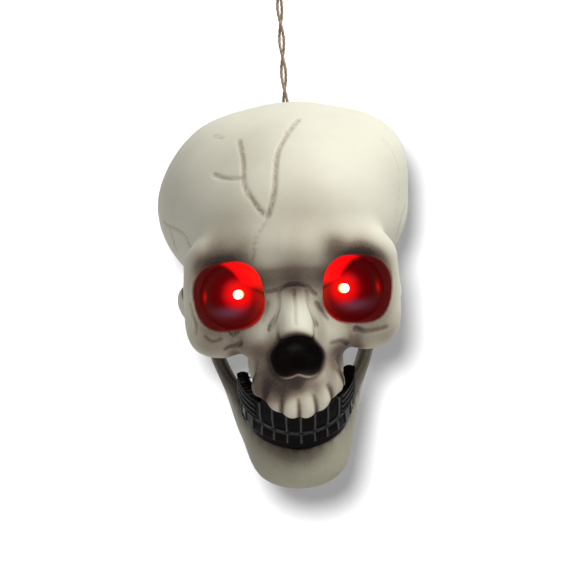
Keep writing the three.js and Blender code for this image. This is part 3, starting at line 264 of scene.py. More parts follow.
def hung(points):
    """Skull millimetres to metres in the hung frame."""
    return np.asarray(points) * MM @ HEAD_TURN.T + HEAD_SHIFT


# Fields: negative inside, about a distance in millimetres
def folded(p):
    """Points with the left half folded onto the right."""
    return np.stack([np.abs(p[:, 0]), p[:, 1], p[:, 2]], 1)


def ellipsoid(p, at, radii):
    q = (folded(p) - at) / radii
    reach = np.linalg.norm(q, axis=1)
    slope = np.linalg.norm(q / radii, axis=1)
    return reach * (reach - 1) / np.maximum(slope, 1e-6)


def rod(p, start, end, radius, fold=0):
    """Rod with round ends and its mirror image, run together softly where a fold is given."""
    q = np.stack([np.hypot(p[:, 0], fold), p[:, 1], p[:, 2]], 1) - start
    along = np.subtract(end, start)
    share = np.clip(q @ along / (along @ along), 0, 1)
    return np.linalg.norm(q - share[:, None] * along, axis=1) - radius


def smooth_min(a, b, blend):
    h = np.maximum(blend - np.abs(a - b), 0) / blend
    return np.minimum(a, b) - h * h * blend / 4


def cut(a, b, blend):
    return -smooth_min(-a, b, blend)


def spline(points, steps):
    """Points, tangents and places along a centripetal curve through a list of points."""
    points = np.array(points, float)
    padded = np.vstack([2 * points[0] - points[1], points, 2 * points[-1] - points[-2]])
    places = np.linspace(0, len(points) - 1, steps + 1)
    low = np.minimum(places.astype(int), len(points) - 2)
    share = (places - low)[:, None]
    a, b, c, d = (padded[low + k] for k in range(4))
    gaps = [np.sqrt(np.linalg.norm(y - x, axis=1))[:, None] for x, y in ((a, b), (b, c), (c, d))]
    start = ((b - a) / gaps[0] - (c - a) / (gaps[0] + gaps[1]) + (c - b) / gaps[1]) * gaps[1]
    end = ((c - b) / gaps[1] - (d - b) / (gaps[1] + gaps[2]) + (d - c) / gaps[2]) * gaps[1]
    square = -3 * b + 3 * c - 2 * start - end
    cube = 2 * b - 2 * c + start + end
    spots = b + start * share + square * share ** 2 + cube * share ** 3
    ways = start + 2 * square * share + 3 * cube * share ** 2
    return spots, ways / np.linalg.norm(ways, axis=1)[:, None], places


def unit(v):
    return v / np.linalg.norm(v, axis=-1, keepdims=True)


def nearest_of(p, spots):
    """Which of some spots lies nearest to each point, in chunks to save memory."""
    nearest = np.empty(len(p), int)
    for k in range(0, len(p), CHUNK):
        part = p[k:k + CHUNK]
        spread = (part ** 2).sum(1)[:, None] - 2 * part @ spots.T + (spots ** 2).sum(1)
        nearest[k:k + CHUNK] = spread.argmin(1)
    return nearest


def swept(p, spots, ups, outs, halves, power):
    """Field of rounded sections along a line of stations."""
    nearest = nearest_of(p, spots)
    off = p - spots[nearest]
    u = np.abs((off * ups[nearest]).sum(1)) / halves[nearest, 0]
    v = np.abs((off * outs[nearest]).sum(1)) / halves[nearest, 1]
    beyond = (off ** 2).sum(1) - (u * halves[nearest, 0]) ** 2 - (v * halves[nearest, 1]) ** 2
    reach = (u ** power + v ** power) ** (1 / power)
    slope = np.hypot(u / halves[nearest, 0], v / halves[nearest, 1])
    side = reach * (reach - 1) / np.maximum(slope, 1e-6)
    ends = np.sqrt(np.maximum(beyond, 0))
    return np.where(ends > 1.5, np.hypot(np.maximum(side, 0), ends), side)


# Cheek arch, on the +X side and mirrored by folding x
arch_spots, arch_ways, _ = spline(ARCH_ROUTE, 60)
arch_outs = unit(np.cross(arch_ways, [0, 0, 1]))
arch_ups = np.cross(arch_outs, arch_ways)
arch_halves = np.tile([ARCH_HALF[1], ARCH_HALF[0]], (61, 1))


def near(p, low, high, margin):
    return np.all((p > np.array(low) - margin) & (p < np.array(high) + margin), axis=1)


def masked(p, mask, field, far=30.0):
    value = np.full(len(p), far)
    if mask.any():
        value[mask] = field(p[mask])
    return value


def cheek_arch(p):
    q = folded(p)
    mask = near(q, arch_spots.min(0), arch_spots.max(0), 14)
    return masked(q, mask, lambda r: swept(r, arch_spots, arch_ups, arch_outs, arch_halves, 2.0))


# Eye sockets: u to the side, v up, w out of the socket
orbit_across = np.array([math.cos(ORBIT_TURN), math.sin(ORBIT_TURN), 0])
orbit_level = np.array([math.sin(ORBIT_TURN), -math.cos(ORBIT_TURN), 0])
orbit_out = math.cos(ORBIT_PITCH) * orbit_level + math.sin(ORBIT_PITCH) * np.array([0, 0, 1])
orbit_up = np.cross(orbit_out, orbit_across)


def in_orbit(p):
    q = folded(p) - ORBIT_AT
    return q @ orbit_across, q @ orbit_up, q @ orbit_out


def tunnel(p, grow, back):
    u, v, w = in_orbit(p)
    x = u * math.cos(ORBIT_DROOP) + v * math.sin(ORBIT_DROOP)
    y = -u * math.sin(ORBIT_DROOP) + v * math.cos(ORBIT_DROOP)
    steps = [-TUNNEL_DEPTH, 0, TUNNEL_MOUTH]
    half_x = np.interp(w, steps, [BOWL_RADIUS, ORBIT_HALF[0], TUNNEL_FLARE[0] * ORBIT_HALF[0]]) + grow
    half_y = np.interp(w, steps, [BOWL_RADIUS, ORBIT_HALF[1], TUNNEL_FLARE[1] * ORBIT_HALF[1]]) + grow
    power = np.interp(w, [-TUNNEL_DEPTH, 0], [2, 2.6])
    reach = ((np.abs(x) / half_x) ** power + (np.abs(y) / half_y) ** power) ** (1 / power)
    return np.maximum((reach - 1) * np.minimum(half_x, half_y), back - w)


def bowl_room(p):
    u, v, w = in_orbit(p)
    room = BOWL_RADIUS + FLANGE_WIDTH + GAP
    ledge = SEAT - FLANGE_THICKNESS - 2 * GAP
    steps = [SEAT - BOWL_DEPTH - 4, ledge - 4, ledge]
    radius = np.interp(w, steps, [room * 0.6, room - 1, room])
    return np.maximum.reduce([np.hypot(u, v) - radius, w - SEAT, steps[0] - w])


# Bite: x to the side, y to the back, z up, from the front edge of the teeth
def in_bite(p):
    q = p - INCISAL
    c, s = math.cos(BITE_RISE), math.sin(BITE_RISE)
    return np.stack([q[:, 0], q[:, 1] * c + q[:, 2] * s, q[:, 2] * c - q[:, 1] * s], 1)


def out_of_bite(q):
    c, s = math.cos(BITE_RISE), math.sin(BITE_RISE)
    q = np.asarray(q, float)
    turned = [q[..., 0], q[..., 1] * c - q[..., 2] * s, q[..., 1] * s + q[..., 2] * c]
    return np.stack(turned, -1) + INCISAL


def arch_at(arch, share):
    angle = ARCH_SWEEP * np.asarray(share, float)
    x = arch["half"] * np.sin(angle)
    y = arch["inset"] + arch["depth"] * (1 - np.cos(angle))
    way = np.stack([arch["half"] * np.cos(angle), arch["depth"] * np.sin(angle)], -1)
    stretch = np.linalg.norm(way, axis=-1)
    way = way / stretch[..., None]
    return np.stack([x, y], -1), way, np.stack([way[..., 1], -way[..., 0]], -1), stretch


def along_arch(q, arch, reach=1.03):
    """Share along an arch of teeth, distance outwards from its line and from its nearest point."""
    shares = np.linspace(-reach, reach, 121)
    spots, ways, outs, stretch = arch_at(arch, shares)
    nearest = nearest_of(q[:, :2], spots)
    off = q[:, :2] - spots[nearest]
    share = shares[nearest] + (off * ways[nearest]).sum(1) / (stretch[nearest] * ARCH_SWEEP)
    return share, (off * outs[nearest]).sum(1), np.linalg.norm(off, axis=1)


def root_half_depth(arch, share):
    """Half depth of a row of teeth in its bone, less where a lip of bone covers it."""
    bare = LIP_SHARE if arch is UPPER else 2
    return np.interp(np.abs(share), [bare, bare + 0.06], [ROOT_HALF_DEPTH, 0.95 * TOOTH_HALF_DEPTH])


def gum_line(q, arch):
    """Height of the edge of the bone, which rises to both sides over the upper teeth."""
    if arch is LOWER:
        return np.full(len(q), float(LOWER["lip"]))
    return UPPER["lip"] + LIP_CURVE * np.minimum(np.abs(q[:, 0]) / LIP_SPAN, 1.1) ** 2


def tooth_root(q, arch):
    """Height at which a row of teeth ends, in the bone or bare at the sides."""
    if arch is LOWER:
        return np.full(len(q), float(LOWER["root"]))
    covered = np.abs(q[:, 0]) < LIP_END
    return np.where(covered, gum_line(q, UPPER) + UPPER["root"] - UPPER["lip"], UPPER["root"])


def lobe_phase(share):
    """Place across a lobe of bone: 0 in its middle, 0.5 in the valley beside it."""
    count = (share - ROOT_SHIFT) / ROOT_PITCH + (ROOTS - 1) / 2
    return np.abs(count - np.clip(np.round(count), 0, ROOTS - 1))


def roots(p):
    """Lobes of bone over the upper teeth, on a wall that leans back into the upper jaw."""
    q = in_bite(p)
    level = q[:, 2] - gum_line(q, UPPER)
    lean = ROOT_LEAN * np.maximum(level - ROOT_UPRIGHT, 0) ** 2
    _, front, away = along_arch(q, UPPER, LIP_SHARE)
    beyond = np.sqrt(np.maximum(away ** 2 - front ** 2, 0))
    ends = np.maximum(-level - 1, level - ROOT_LENGTH)
    value = np.maximum.reduce([np.abs(front + lean) - LIP_HALF_DEPTH, beyond - LIP_HALF_DEPTH, ends])
    radius = ROOT_RADIUS * np.interp(level, [0, 1.4, 3, 9, 16], [0.82, 0.94, 1, 0.85, 0.5])
    for i in range(ROOTS):
        spot, _, out, _ = arch_at(UPPER, ROOT_SHIFT + ROOT_PITCH * (i - (ROOTS - 1) / 2))
        middle = spot - out * (ROOT_INSET + lean[:, None])
        side = np.linalg.norm(q[:, :2] - middle, axis=1) - radius
        value = smooth_min(value, np.maximum(side, ends), 0.6)
    return value


def leant(p):
    """Points moved so that an upright field leans to the side at the crown."""
    share = np.clip((p[:, 2] - LEAN_HEIGHTS[0]) / (LEAN_HEIGHTS[1] - LEAN_HEIGHTS[0]), 0, 1)
    lean = CROWN_LEAN * share * share * (3 - 2 * share)
    return np.stack([p[:, 0] - lean, p[:, 1], p[:, 2]], 1)


def blended(p, masses):
    """The vault and some masses, run together."""
    value = ellipsoid(p, *VAULT)
    for mass in masses:
        value = smooth_min(value, ellipsoid(p, *mass), SKIN_BLEND)
    return value


def skin(p):
    p = leant(p)
    value = blended(p, VAULT_MASSES + FACE_MASSES)
    for ridge in RIDGES:
        value = smooth_min(value, rod(p, *ridge), SKIN_BLEND)
    return value


def hollow(p):
    return blended(leant(p), VAULT_MASSES) + MESHED_WALL


def march(starts, direction):
    """Points that move along a direction until they meet the skin."""
    p = np.array(starts, float)
    for _ in range(90):
        p = p + 0.7 * np.maximum(skin(p), 0)[:, None] * np.array(direction)
    return p


def box(p, low, high):
    middle = (np.array(low) + np.array(high)) / 2
    q = np.abs(p - middle) - (np.array(high) - np.array(low)) / 2
    return np.linalg.norm(np.maximum(q, 0), axis=1) + np.minimum(q.max(1), 0)


def bar(p, start, end, radius):
    """Round bar with flat ends."""
    along = np.subtract(end, start)
    length = np.linalg.norm(along)
    along = along / length
    q = p - start
    height = q @ along
    side = np.linalg.norm(q - height[:, None] * along, axis=1) - radius
    return np.maximum.reduce([side, -height, height - length])


def hinge_bar(p, start, end, radius):
    """Round bar on the line of the hinge, between two distances from the middle."""
    return bar(p, [start, *HINGE[1:]], [end, *HINGE[1:]], radius)


# Places that the shell's cuts share with the pieces in them
CORD_RISE = 88
CORD_HOLE_RADIUS = 3.2
WASHER_RADIUS = 7
crown = HEAD_TURN.T @ (np.array([0, 0, -CORD_RISE * MM]) - HEAD_SHIFT) / MM
BOSS_START = 26
BOSS_END = JAW_EYE[0] - GAP
BOSS_RADIUS = 6
PIVOT_HOLE_RADIUS = 2.1
FOSSA_RADIUS = JAW_EYE_RADIUS + 1.5
FOSSA_DEPTH = 12
spring_foot = np.array([SPRING_X, *SPRING_FOOT])
SPRING_LENGTH = 32
LUG_INSET = 4.3
LUG_BOX = ([-1.5, -3.5, -3], [1.5, 3.5, 21])
HEAD_PIN_START = 4.5
JAW_PIN_START = 9
spring_head = spring_foot + SPRING_LENGTH * UPRIGHT
SCREW_HEIGHTS = [64, 20]
SCREW_HEAD_RADIUS = 2.8
SCREW_SEAT = 4.2
SCREW_HOLE_RADIUS = 1.8
SCREW_BOSS_RADIUS = SCREW_HEAD_RADIUS + 2.6
SCREW_WELL_RADIUS = SCREW_HEAD_RADIUS + 0.5
screw_spots = [
    march([(FAR_AWAY * side, SPLIT_Y, z)], (-side, 0, 0))[0] - [side * (WALL + 4), 0, 0]
    for z in SCREW_HEIGHTS
    for side in (1, -1)
]
PAD_LOW = np.array([-34, 23.5, -21])
PAD_HIGH = np.array([34, 62, 4])
PAD_OPENING = ([-27.8, 27.2, -22], [27.8, 59.7, 4])
MOUTH_FRONT = -10
MOUTH_BACK = 50
GUM_BLOCK = ([-60, -24, LOWER["lip"]], [60, 42, 60])
LOBE_BOX = ([-30, -90, -56], [30, -40, -20])
UPPER_BOX = ([-36, -90, -62], [36, -38, -26])
LOWER_BOX = ([-36, -92, -82], [36, -38, -50])
VALLEY_BOX = ([-24, -92, -56], [24, -62, -24])


def nose_opening(p):
    front = smooth_min(ellipsoid(p, *NOSE_LOBE), ellipsoid(p, *NOSE_PEAK), 3)
    return smooth_min(front, ellipsoid(p, *NOSE_DEEP), 2)


def tooth_groove(p, arch):
    q = in_bite(p)
    share, front, away = along_arch(q, arch)
    half = root_half_depth(arch, share) + GAP
    height = (q[:, 2] - tooth_root(q, arch)) * np.sign(arch["root"]) - GAP
    below = (arch["lip"] - q[:, 2]) * np.sign(arch["lip"]) - 1
    return np.maximum.reduce([np.abs(front) - half, away - half - ROW_END, height, below])


def outside(p):
    """Skull without its hollow."""
    value = smooth_min(skin(p), cheek_arch(p), 5)
    mouth = near(p, *LOBE_BOX, 8)
    soft = np.interp(in_bite(p)[:, 2] - UPPER["lip"], [2, 14], [1.2, 4])
    value = smooth_min(value, masked(p, mouth, roots), soft)
    q = folded(p)
    boss = hinge_bar(q, BOSS_START, BOSS_END, BOSS_RADIUS)
    r = q - spring_head + [LUG_INSET, 0, 0]
    across = np.array([0, UPRIGHT[2], -UPRIGHT[1]])
    lugs = box(np.stack([r[:, 0], r @ across, r @ UPRIGHT], 1), *LUG_BOX)
    pin_ends = (spring_head - [HEAD_PIN_START, 0, 0], spring_head + [SPRING_PIN_END, 0, 0])
    pins = bar(q, *pin_ends, SPRING_PIN_RADIUS)
    value = np.minimum.reduce([value, boss, lugs, pins])
    value = smooth_min(value, box(p, PAD_LOW, PAD_HIGH), 3)
    value = cut(value, tunnel(p, 0, SEAT - 1), 1.8)
    value = cut(value, nose_opening(p), 2)
    value = cut(value, ellipsoid(p, *PALATE), 2)
    b = in_bite(p)
    ends = np.maximum(MOUTH_FRONT - b[:, 1], b[:, 1] - MOUTH_BACK)
    below = np.maximum(b[:, 2] - gum_line(b, UPPER), ends)
    value = cut(value, below, 1.8)
    groove = near(p, *UPPER_BOX, 6)
    band = masked(p, groove, lambda r: tooth_groove(r, UPPER))
    value = np.maximum(value, -band)
    fossa = hinge_bar(q, BOSS_END, BOSS_END + FOSSA_DEPTH, FOSSA_RADIUS)
    value = cut(value, fossa, 1.5)
    return np.maximum(value, -box(p, PAD_LOW - [0, 0, 30], [PAD_HIGH[0], PAD_HIGH[1], PAD_LOW[2]]))


def shell(p):
    q = folded(p)
    inner = hollow(p)
    room = box(p, PAD_LOW + [WALL, WALL, WALL], PAD_HIGH - [WALL, WALL, -8])
    inner = np.minimum(inner, room)
    walls = [
        tunnel(p, WALL, SEAT),
        hinge_bar(q, BOSS_END - WALL, BOSS_END + FOSSA_DEPTH + 2, FOSSA_RADIUS + WALL),
        hinge_bar(q, BOSS_START, BOSS_END, BOSS_RADIUS),
    ]
    value = outside(p)
    cuts = [bowl_room(p)]
    for spot in screw_spots:
        walls.append(bar(p, spot - [0, 14, 0], spot + [0, 70, 0], SCREW_BOSS_RADIUS))
        cuts.append(bar(p, spot + [0, SCREW_SEAT, 0], spot + [0, 80, 0], SCREW_WELL_RADIUS))
        cuts.append(bar(p, spot - [0, 11, 0], spot + [0, 6, 0], SCREW_HOLE_RADIUS))
    cuts.append(np.maximum(inner, -np.minimum.reduce(walls)))
    cuts.append(box(p, *PAD_OPENING))
    cuts.append(bar(p, crown - 10 * UPRIGHT, crown + 10 * UPRIGHT, CORD_HOLE_RADIUS))
    cuts.append(bar(p, crown - (WALL + 14) * UPRIGHT, crown - WALL * UPRIGHT, WASHER_RADIUS + 1))
    cuts.append(hinge_bar(q, BOSS_START - 1, JAW_EYE[1] + 7, PIVOT_HOLE_RADIUS))
    return np.maximum(value, -np.minimum.reduce(cuts))


def face_field(p):
    return np.maximum(shell(p), p[:, 1] - (SPLIT_Y - GAP / 2))


def rear_field(p):
    return np.maximum(shell(p), SPLIT_Y + GAP / 2 - p[:, 1])


# Lower jaw
right_half = JAW_STATIONS[:-1]
left_half = [(-x, *rest) for x, *rest in right_half][::-1]
stations = right_half + [JAW_STATIONS[-1]] + left_half
middles = [(x, y, top - height / 2) for x, y, top, height, _ in stations]
jaw_spots, jaw_ways, jaw_places = spline(middles, 240)
lean = np.minimum(0, jaw_spots[:, 1] + 40) * (1 - np.abs(jaw_spots[:, 0]) / 50)
outward = unit(np.stack([jaw_spots[:, 0], lean, 0 * lean], 1))
jaw_ups = unit(np.cross(jaw_ways, outward))
jaw_outs = np.cross(jaw_ups, jaw_ways)
halves = np.array([(height / 2, thickness / 2) for *_, height, thickness in stations])
jaw_halves = np.stack([np.interp(jaw_places, range(len(stations)), halves[:, k]) for k in (0, 1)], 1)


def jaw_field(p):
    q = folded(p)
    value = swept(p, jaw_spots, jaw_ups, jaw_outs, jaw_halves, 2.5)
    eye = hinge_bar(q, *JAW_EYE, JAW_EYE_RADIUS)
    value = smooth_min(value, eye, 2)
    pin_ends = (spring_foot - [SPRING_PIN_END, 0, 0], spring_foot + [JAW_PIN_START, 0, 0])
    pins = bar(q, *pin_ends, SPRING_PIN_RADIUS)
    value = np.minimum(value, pins)
    value = np.maximum(value, -hinge_bar(q, JAW_EYE[0] - 6, JAW_EYE[1] + 12, EYE_HOLE_RADIUS))
    value = cut(value, box(in_bite(p), *GUM_BLOCK), 2)
    groove = near(p, *LOWER_BOX, 6)
    band = masked(p, groove, lambda r: tooth_groove(r, LOWER))
    return np.maximum(value, -band)


# Teeth: a row of tiles with hollowed faces, on a band that sits in the bone
def tile_hollow(share, level, arch):
    """How far a point lies into the hollow of a tooth's face: 0 at its edges, 1 in the middle."""
    side = 2 * np.mod((share + 1) * TEETH / 2, 1) - 1
    middle, half = (0.6, 0.5) if arch is LOWER else (0.56, 0.46)
    rib = np.abs(2 * np.mod(level * RIBS, 1) - 1) / 0.8
    ribbed = (np.abs(share) > RIB_SHARE) & (arch is UPPER)
    across = np.clip(1 - (np.abs(side) / 0.9) ** 4, 0, 1)
    down = np.clip(1 - np.where(ribbed, rib, np.abs(level - middle) / half) ** 4, 0, 1)
    return np.sqrt(np.where(ribbed, 1, across) * down), side


def tooth_level(q, arch, share):
    """Height on a tooth's face: 0 at its tip, 1 at the edge of the bone."""
    tip = arch["tip"] - TOOTH_DIP * np.clip(1 - (share / LIP_SHARE) ** 2, 0, 1)
    bare = (np.abs(q[:, 0]) > LIP_END) & (arch is UPPER)
    return (q[:, 2] - tip) / (np.where(bare, arch["root"], gum_line(q, arch)) - tip)


def tooth_row(p, arch):
    q = in_bite(p)
    share, front, away = along_arch(q, arch)
    level = tooth_level(q, arch, share)
    hollow_share, side = tile_hollow(share, level, arch)
    edge = 0.5 + 0.45 * np.minimum(1, 1.6 * share ** 2)
    depth = TOOTH_HALF_DEPTH * (edge + (1.03 - edge) * np.sqrt(np.clip(level / 0.5, 0, 1)))
    sunk = np.clip((level - 0.96) / 0.15, 0, 1)
    depth = depth + sunk * (root_half_depth(arch, share) - depth)
    height = abs(arch["lip"] - arch["tip"])
    tip = (0.12 * np.abs(side) ** 3 - level) * height
    value = -smooth_min(depth - np.abs(front), -tip, 0.9)
    value = value + 0.8 * hollow_share * (front > 0) * (depth > ROOT_HALF_DEPTH + 1)
    root = (q[:, 2] - tooth_root(q, arch)) * np.sign(arch["root"])
    return np.maximum.reduce([value, root, away - depth - ROW_END])


# Meshes of fields by surface nets
BLOCK = 4


def sampled(field, low, high, cell):
    counts = (np.ceil((high - low) / (cell * BLOCK)).astype(int)) * BLOCK + 1
    blocks = (counts - 1) // BLOCK
    grid = np.stack(np.meshgrid(*[np.arange(n) for n in blocks], indexing="ij"), -1).reshape(-1, 3)
    centres = field(low + cell * (grid * BLOCK + BLOCK / 2))
    active = np.abs(centres) < cell * BLOCK * 1.5
    values = np.full(counts, 1e3, np.float32)
    inside = grid[(centres < 0) & ~active]
    for i, j, k in inside * BLOCK:
        values[i:i + BLOCK + 1, j:j + BLOCK + 1, k:k + BLOCK + 1] = -1e3
    steps = np.stack(np.meshgrid(*[np.arange(BLOCK + 1)] * 3, indexing="ij"), -1).reshape(-1, 3)
    corners = grid[active] * BLOCK
    for k in range(0, len(corners), 1500):
        spots = (corners[k:k + 1500, None] + steps).reshape(-1, 3)
        values[tuple(spots.T)] = field(low + cell * spots)
    return values


def nets(values, low, cell):
    below = values < 0
    cells = np.array(values.shape) - 1
    keys, marks, quads = [], [], []
    for axis in range(3):
        first = [slice(None)] * 3
        second = [slice(None)] * 3
        first[axis] = slice(None, -1)
        second[axis] = slice(1, None)
        a, b = values[tuple(first)], values[tuple(second)]
        crossing = np.argwhere(below[tuple(first)] != below[tuple(second)])
        one, two = (axis + 1) % 3, (axis + 2) % 3
        fits = (crossing[:, one] > 0) & (crossing[:, two] > 0)
        fits &= (crossing[:, one] < cells[one]) & (crossing[:, two] < cells[two])
        crossing = crossing[fits]
        start, end = a[tuple(crossing.T)], b[tuple(crossing.T)]
        place = crossing.astype(float)
        place[:, axis] += start / (start - end)
        corner = []
        for du, dv in ((-1, -1), (0, -1), (0, 0), (-1, 0)):
            spot = crossing.copy()
            spot[:, one] += du
            spot[:, two] += dv
            corner.append(np.ravel_multi_index(tuple(spot.T), tuple(cells)))
            marks.append(place)
        keys.extend(corner)
        corner = np.stack(corner, 1)
        corner[start > 0] = corner[start > 0][:, ::-1]
        quads.append(corner)
    found, turn = np.unique(np.concatenate(keys), return_inverse=True)
    marks = np.concatenate(marks)
    share = np.bincount(turn)
    points = np.stack([np.bincount(turn, marks[:, k]) / share for k in range(3)], 1)
    faces = np.searchsorted(found, np.concatenate(quads))
    return low + cell * points, faces


def slope_of(field, p, step):
    slope = np.empty_like(p)
    for k in range(3):
        shift = np.zeros(3)
        shift[k] = step
        slope[:, k] = (field(p + shift) - field(p - shift)) / (2 * step)
    return slope


def settle(field, p, cell, rounds=2):
    """Draw points onto the zero level of a field."""
    for _ in range(rounds):
        slope = slope_of(field, p, 0.12 * cell)
        size = (slope ** 2).sum(1)
        move = -(field(p) / np.maximum(size, 0.05))[:, None] * slope
        length = np.linalg.norm(move, axis=1, keepdims=True)
        p = p + move * np.minimum(1, 0.5 * cell / np.maximum(length, 1e-9))
    return p


def mesh_of(name, points, faces):
    mesh = bpy.data.meshes.new(name)
    sides = faces.shape[1]
    mesh.vertices.add(len(points))
    mesh.vertices.foreach_set("co", np.ascontiguousarray(points, np.float32).ravel())
    mesh.loops.add(faces.size)
    mesh.loops.foreach_set("vertex_index", np.ascontiguousarray(faces, np.int32).ravel())
    mesh.polygons.add(len(faces))
    mesh.polygons.foreach_set("loop_start", np.arange(0, faces.size, sides, dtype=np.int32))
    mesh.update(calc_edges=True)
    mesh.validate()
    mesh.shade_smooth()
    return mesh


def add_object(name, mesh):
    piece = bpy.data.objects.new(name, mesh)
    bpy.context.scene.collection.objects.link(piece)
    return piece


def thinned(mesh, most):
    """The mesh with its flat stretches thinned out to a number of triangles."""
    mesh.calc_loop_triangles()
    count = len(mesh.loop_triangles)
    if count <= most:
        return mesh
    piece = add_object("thinning", mesh)
    modifier = piece.modifiers.new("thin", "DECIMATE")
    modifier.ratio = most / count
    bpy.context.view_layer.update()
    graph = bpy.context.evaluated_depsgraph_get()
    result = bpy.data.meshes.new_from_object(piece.evaluated_get(graph))
    bpy.data.objects.remove(piece)
    bpy.data.meshes.remove(mesh)
    return result


def points_of(mesh):
    points = np.empty(len(mesh.vertices) * 3, np.float32)
    mesh.vertices.foreach_get("co", points)
    return points.reshape(-1, 3).astype(float)


def formed(name, field, detail, low, high, cell):
    """Piece from a field in the skull frame, with the finer marks of a detail field."""
    points, faces = nets(sampled(field, low, high, cell), low, cell)
    mesh = thinned(mesh_of(name, points, faces), MOST_TRIANGLES)
    points = settle(detail, points_of(mesh), cell)
    normals = unit(slope_of(detail, points, 0.25))
    return mesh, points, normals


def placed(name, mesh, points):
    mesh.name = name
    mesh.vertices.foreach_set("co", np.ascontiguousarray(hung(points), np.float32).ravel())
    mesh.update()
    mesh.shade_smooth()
    return add_object(name, mesh)


def mark(piece, name, values):
    layer = piece.data.attributes.new(name, "FLOAT", "POINT")
    layer.data.foreach_set("value", np.ascontiguousarray(values, np.float32))


# Cracks and sutures, drawn on the skin along the line of sight or at their own places
def on_skin(spots):
    sight = np.array([0, math.cos(SIGHT_RISE), -math.sin(SIGHT_RISE)])
    rise = np.array([0, math.sin(SIGHT_RISE), math.cos(SIGHT_RISE)])
    starts = spots[:, :1] * [1, 0, 0] + spots[:, 1:] * rise - FAR_AWAY * sight
    return march(starts, sight)


def line_distance(p, spots):
    least = np.full(len(p), 1e3)
    for a, b in zip(spots[:-1], spots[1:]):
        along = b - a
        share = np.clip((p - a) @ along / (along @ along), 0, 1)
        least = np.minimum(least, np.linalg.norm(p - a - share[:, None] * along, axis=1))
    return least


def smoothed(spots, steps):
    return spline(spots, steps * (len(spots) - 1))[0]


def drawn():
    lines = []
    for spots, half_width, depth in CRACKS + SUTURES:
        lines.append((on_skin(smoothed(spots, 8)), half_width, depth))
    for spots, half_width, depth in SIDE_MARKS:
        lines.append((settle(skin, smoothed(spots, 8), 4, 6), half_width, depth))
    path = settle(skin, spline(CORONAL_SUTURE, 3 * STITCHES)[0], 4, 6)
    for k in range(STITCHES):
        lines.append((path[3 * k:3 * k + 3], 0.6, 0.5))
    return lines


grooves = drawn()


def groove_depth(p):
    depth = np.zeros(len(p))
    for path, half_width, deep in grooves:
        mask = near(p, path.min(0), path.max(0), 4 * half_width)
        if mask.any():
            away = line_distance(p[mask], path) / half_width
            lip = 0.22 * np.exp(-((away - 2) / 0.7) ** 2)
            depth[mask] = np.maximum(depth[mask], deep * (np.exp(-away ** 2) - lip))
    return depth


def face_detail(p):
    return face_field(p) + groove_depth(p)


def openness(field, p, normals, reaches):
    total = np.zeros(len(p))
    for reach in reaches:
        total += np.clip(field(p + reach * normals) / reach, 0, 1)
    return total / len(reaches)


# Materials
def paint(red, green, blue):
    """A colour given as it looks on a screen, as the shader's linear values."""
    shades = [value / 255 for value in (red, green, blue)]
    linear = [s / 12.92 if s <= 0.04045 else ((s + 0.055) / 1.055) ** 2.4 for s in shades]
    return (*linear, 1)


class Finish:
    """A material and the few node recipes that its surfaces share."""

    def __init__(self, name, colour, roughness, **sockets):
        self.material = bpy.data.materials.new(name)
        self.material.use_nodes = True
        self.tree = self.material.node_tree
        self.shader = self.tree.nodes["Principled BSDF"]
        self.set("Base Color", colour)
        self.set("Roughness", roughness)
        for socket, value in sockets.items():
            self.set(socket.replace("_", " "), value)

    def set(self, socket, value):
        self.shader.inputs[socket].default_value = value

    def add(self, kind, **values):
        node = self.tree.nodes.new(kind)
        for key, value in values.items():
            setattr(node, key, value)
        return node

    def link(self, start, end):
        self.tree.links.new(start, end)

    def feed(self, socket, value):
        self.link(value, self.shader.inputs[socket])

    def attribute(self, name):
        return self.add("ShaderNodeAttribute", attribute_name=name).outputs["Fac"]

    def noise(self, scale, detail=4.0, roughness=0.55):
        place = self.add("ShaderNodeTexCoord").outputs["Object"]
        node = self.add("ShaderNodeTexNoise")
        node.inputs["Scale"].default_value = scale
        node.inputs["Detail"].default_value = detail
        node.inputs["Roughness"].default_value = roughness
        self.link(place, node.inputs["Vector"])
        return node.outputs["Fac"]

    def maths(self, operation, *values, clamp=False):
        node = self.add("ShaderNodeMath", operation=operation, use_clamp=clamp)
        for socket, value in zip(node.inputs, values):
            if isinstance(value, (int, float)):
                socket.default_value = value
            else:
                self.link(value, socket)
        return node.outputs[0]

    def ramp(self, factor, stops):
        node = self.add("ShaderNodeValToRGB")
        elements = node.color_ramp.elements
        while len(elements) < len(stops):
            elements.new(0.5)
        for element, (place, colour) in zip(elements, stops):
            element.position = place
            element.color = colour
        self.link(factor, node.inputs["Fac"])
        return node.outputs["Color"]

    def mix(self, factor, first, second):
        """A colour from one socket towards a plain colour."""
        node = self.add("ShaderNodeMix", data_type="RGBA")
        self.link(factor, node.inputs[0])
        self.link(first, node.inputs[6])
        node.inputs[7].default_value = second
        return node.outputs[2]

    def bump(self, height, strength, distance):
        node = self.add("ShaderNodeBump")
        node.inputs["Strength"].default_value = strength
        node.inputs["Distance"].default_value = distance
        self.link(height, node.inputs["Height"])
        self.feed("Normal", node.outputs["Normal"])


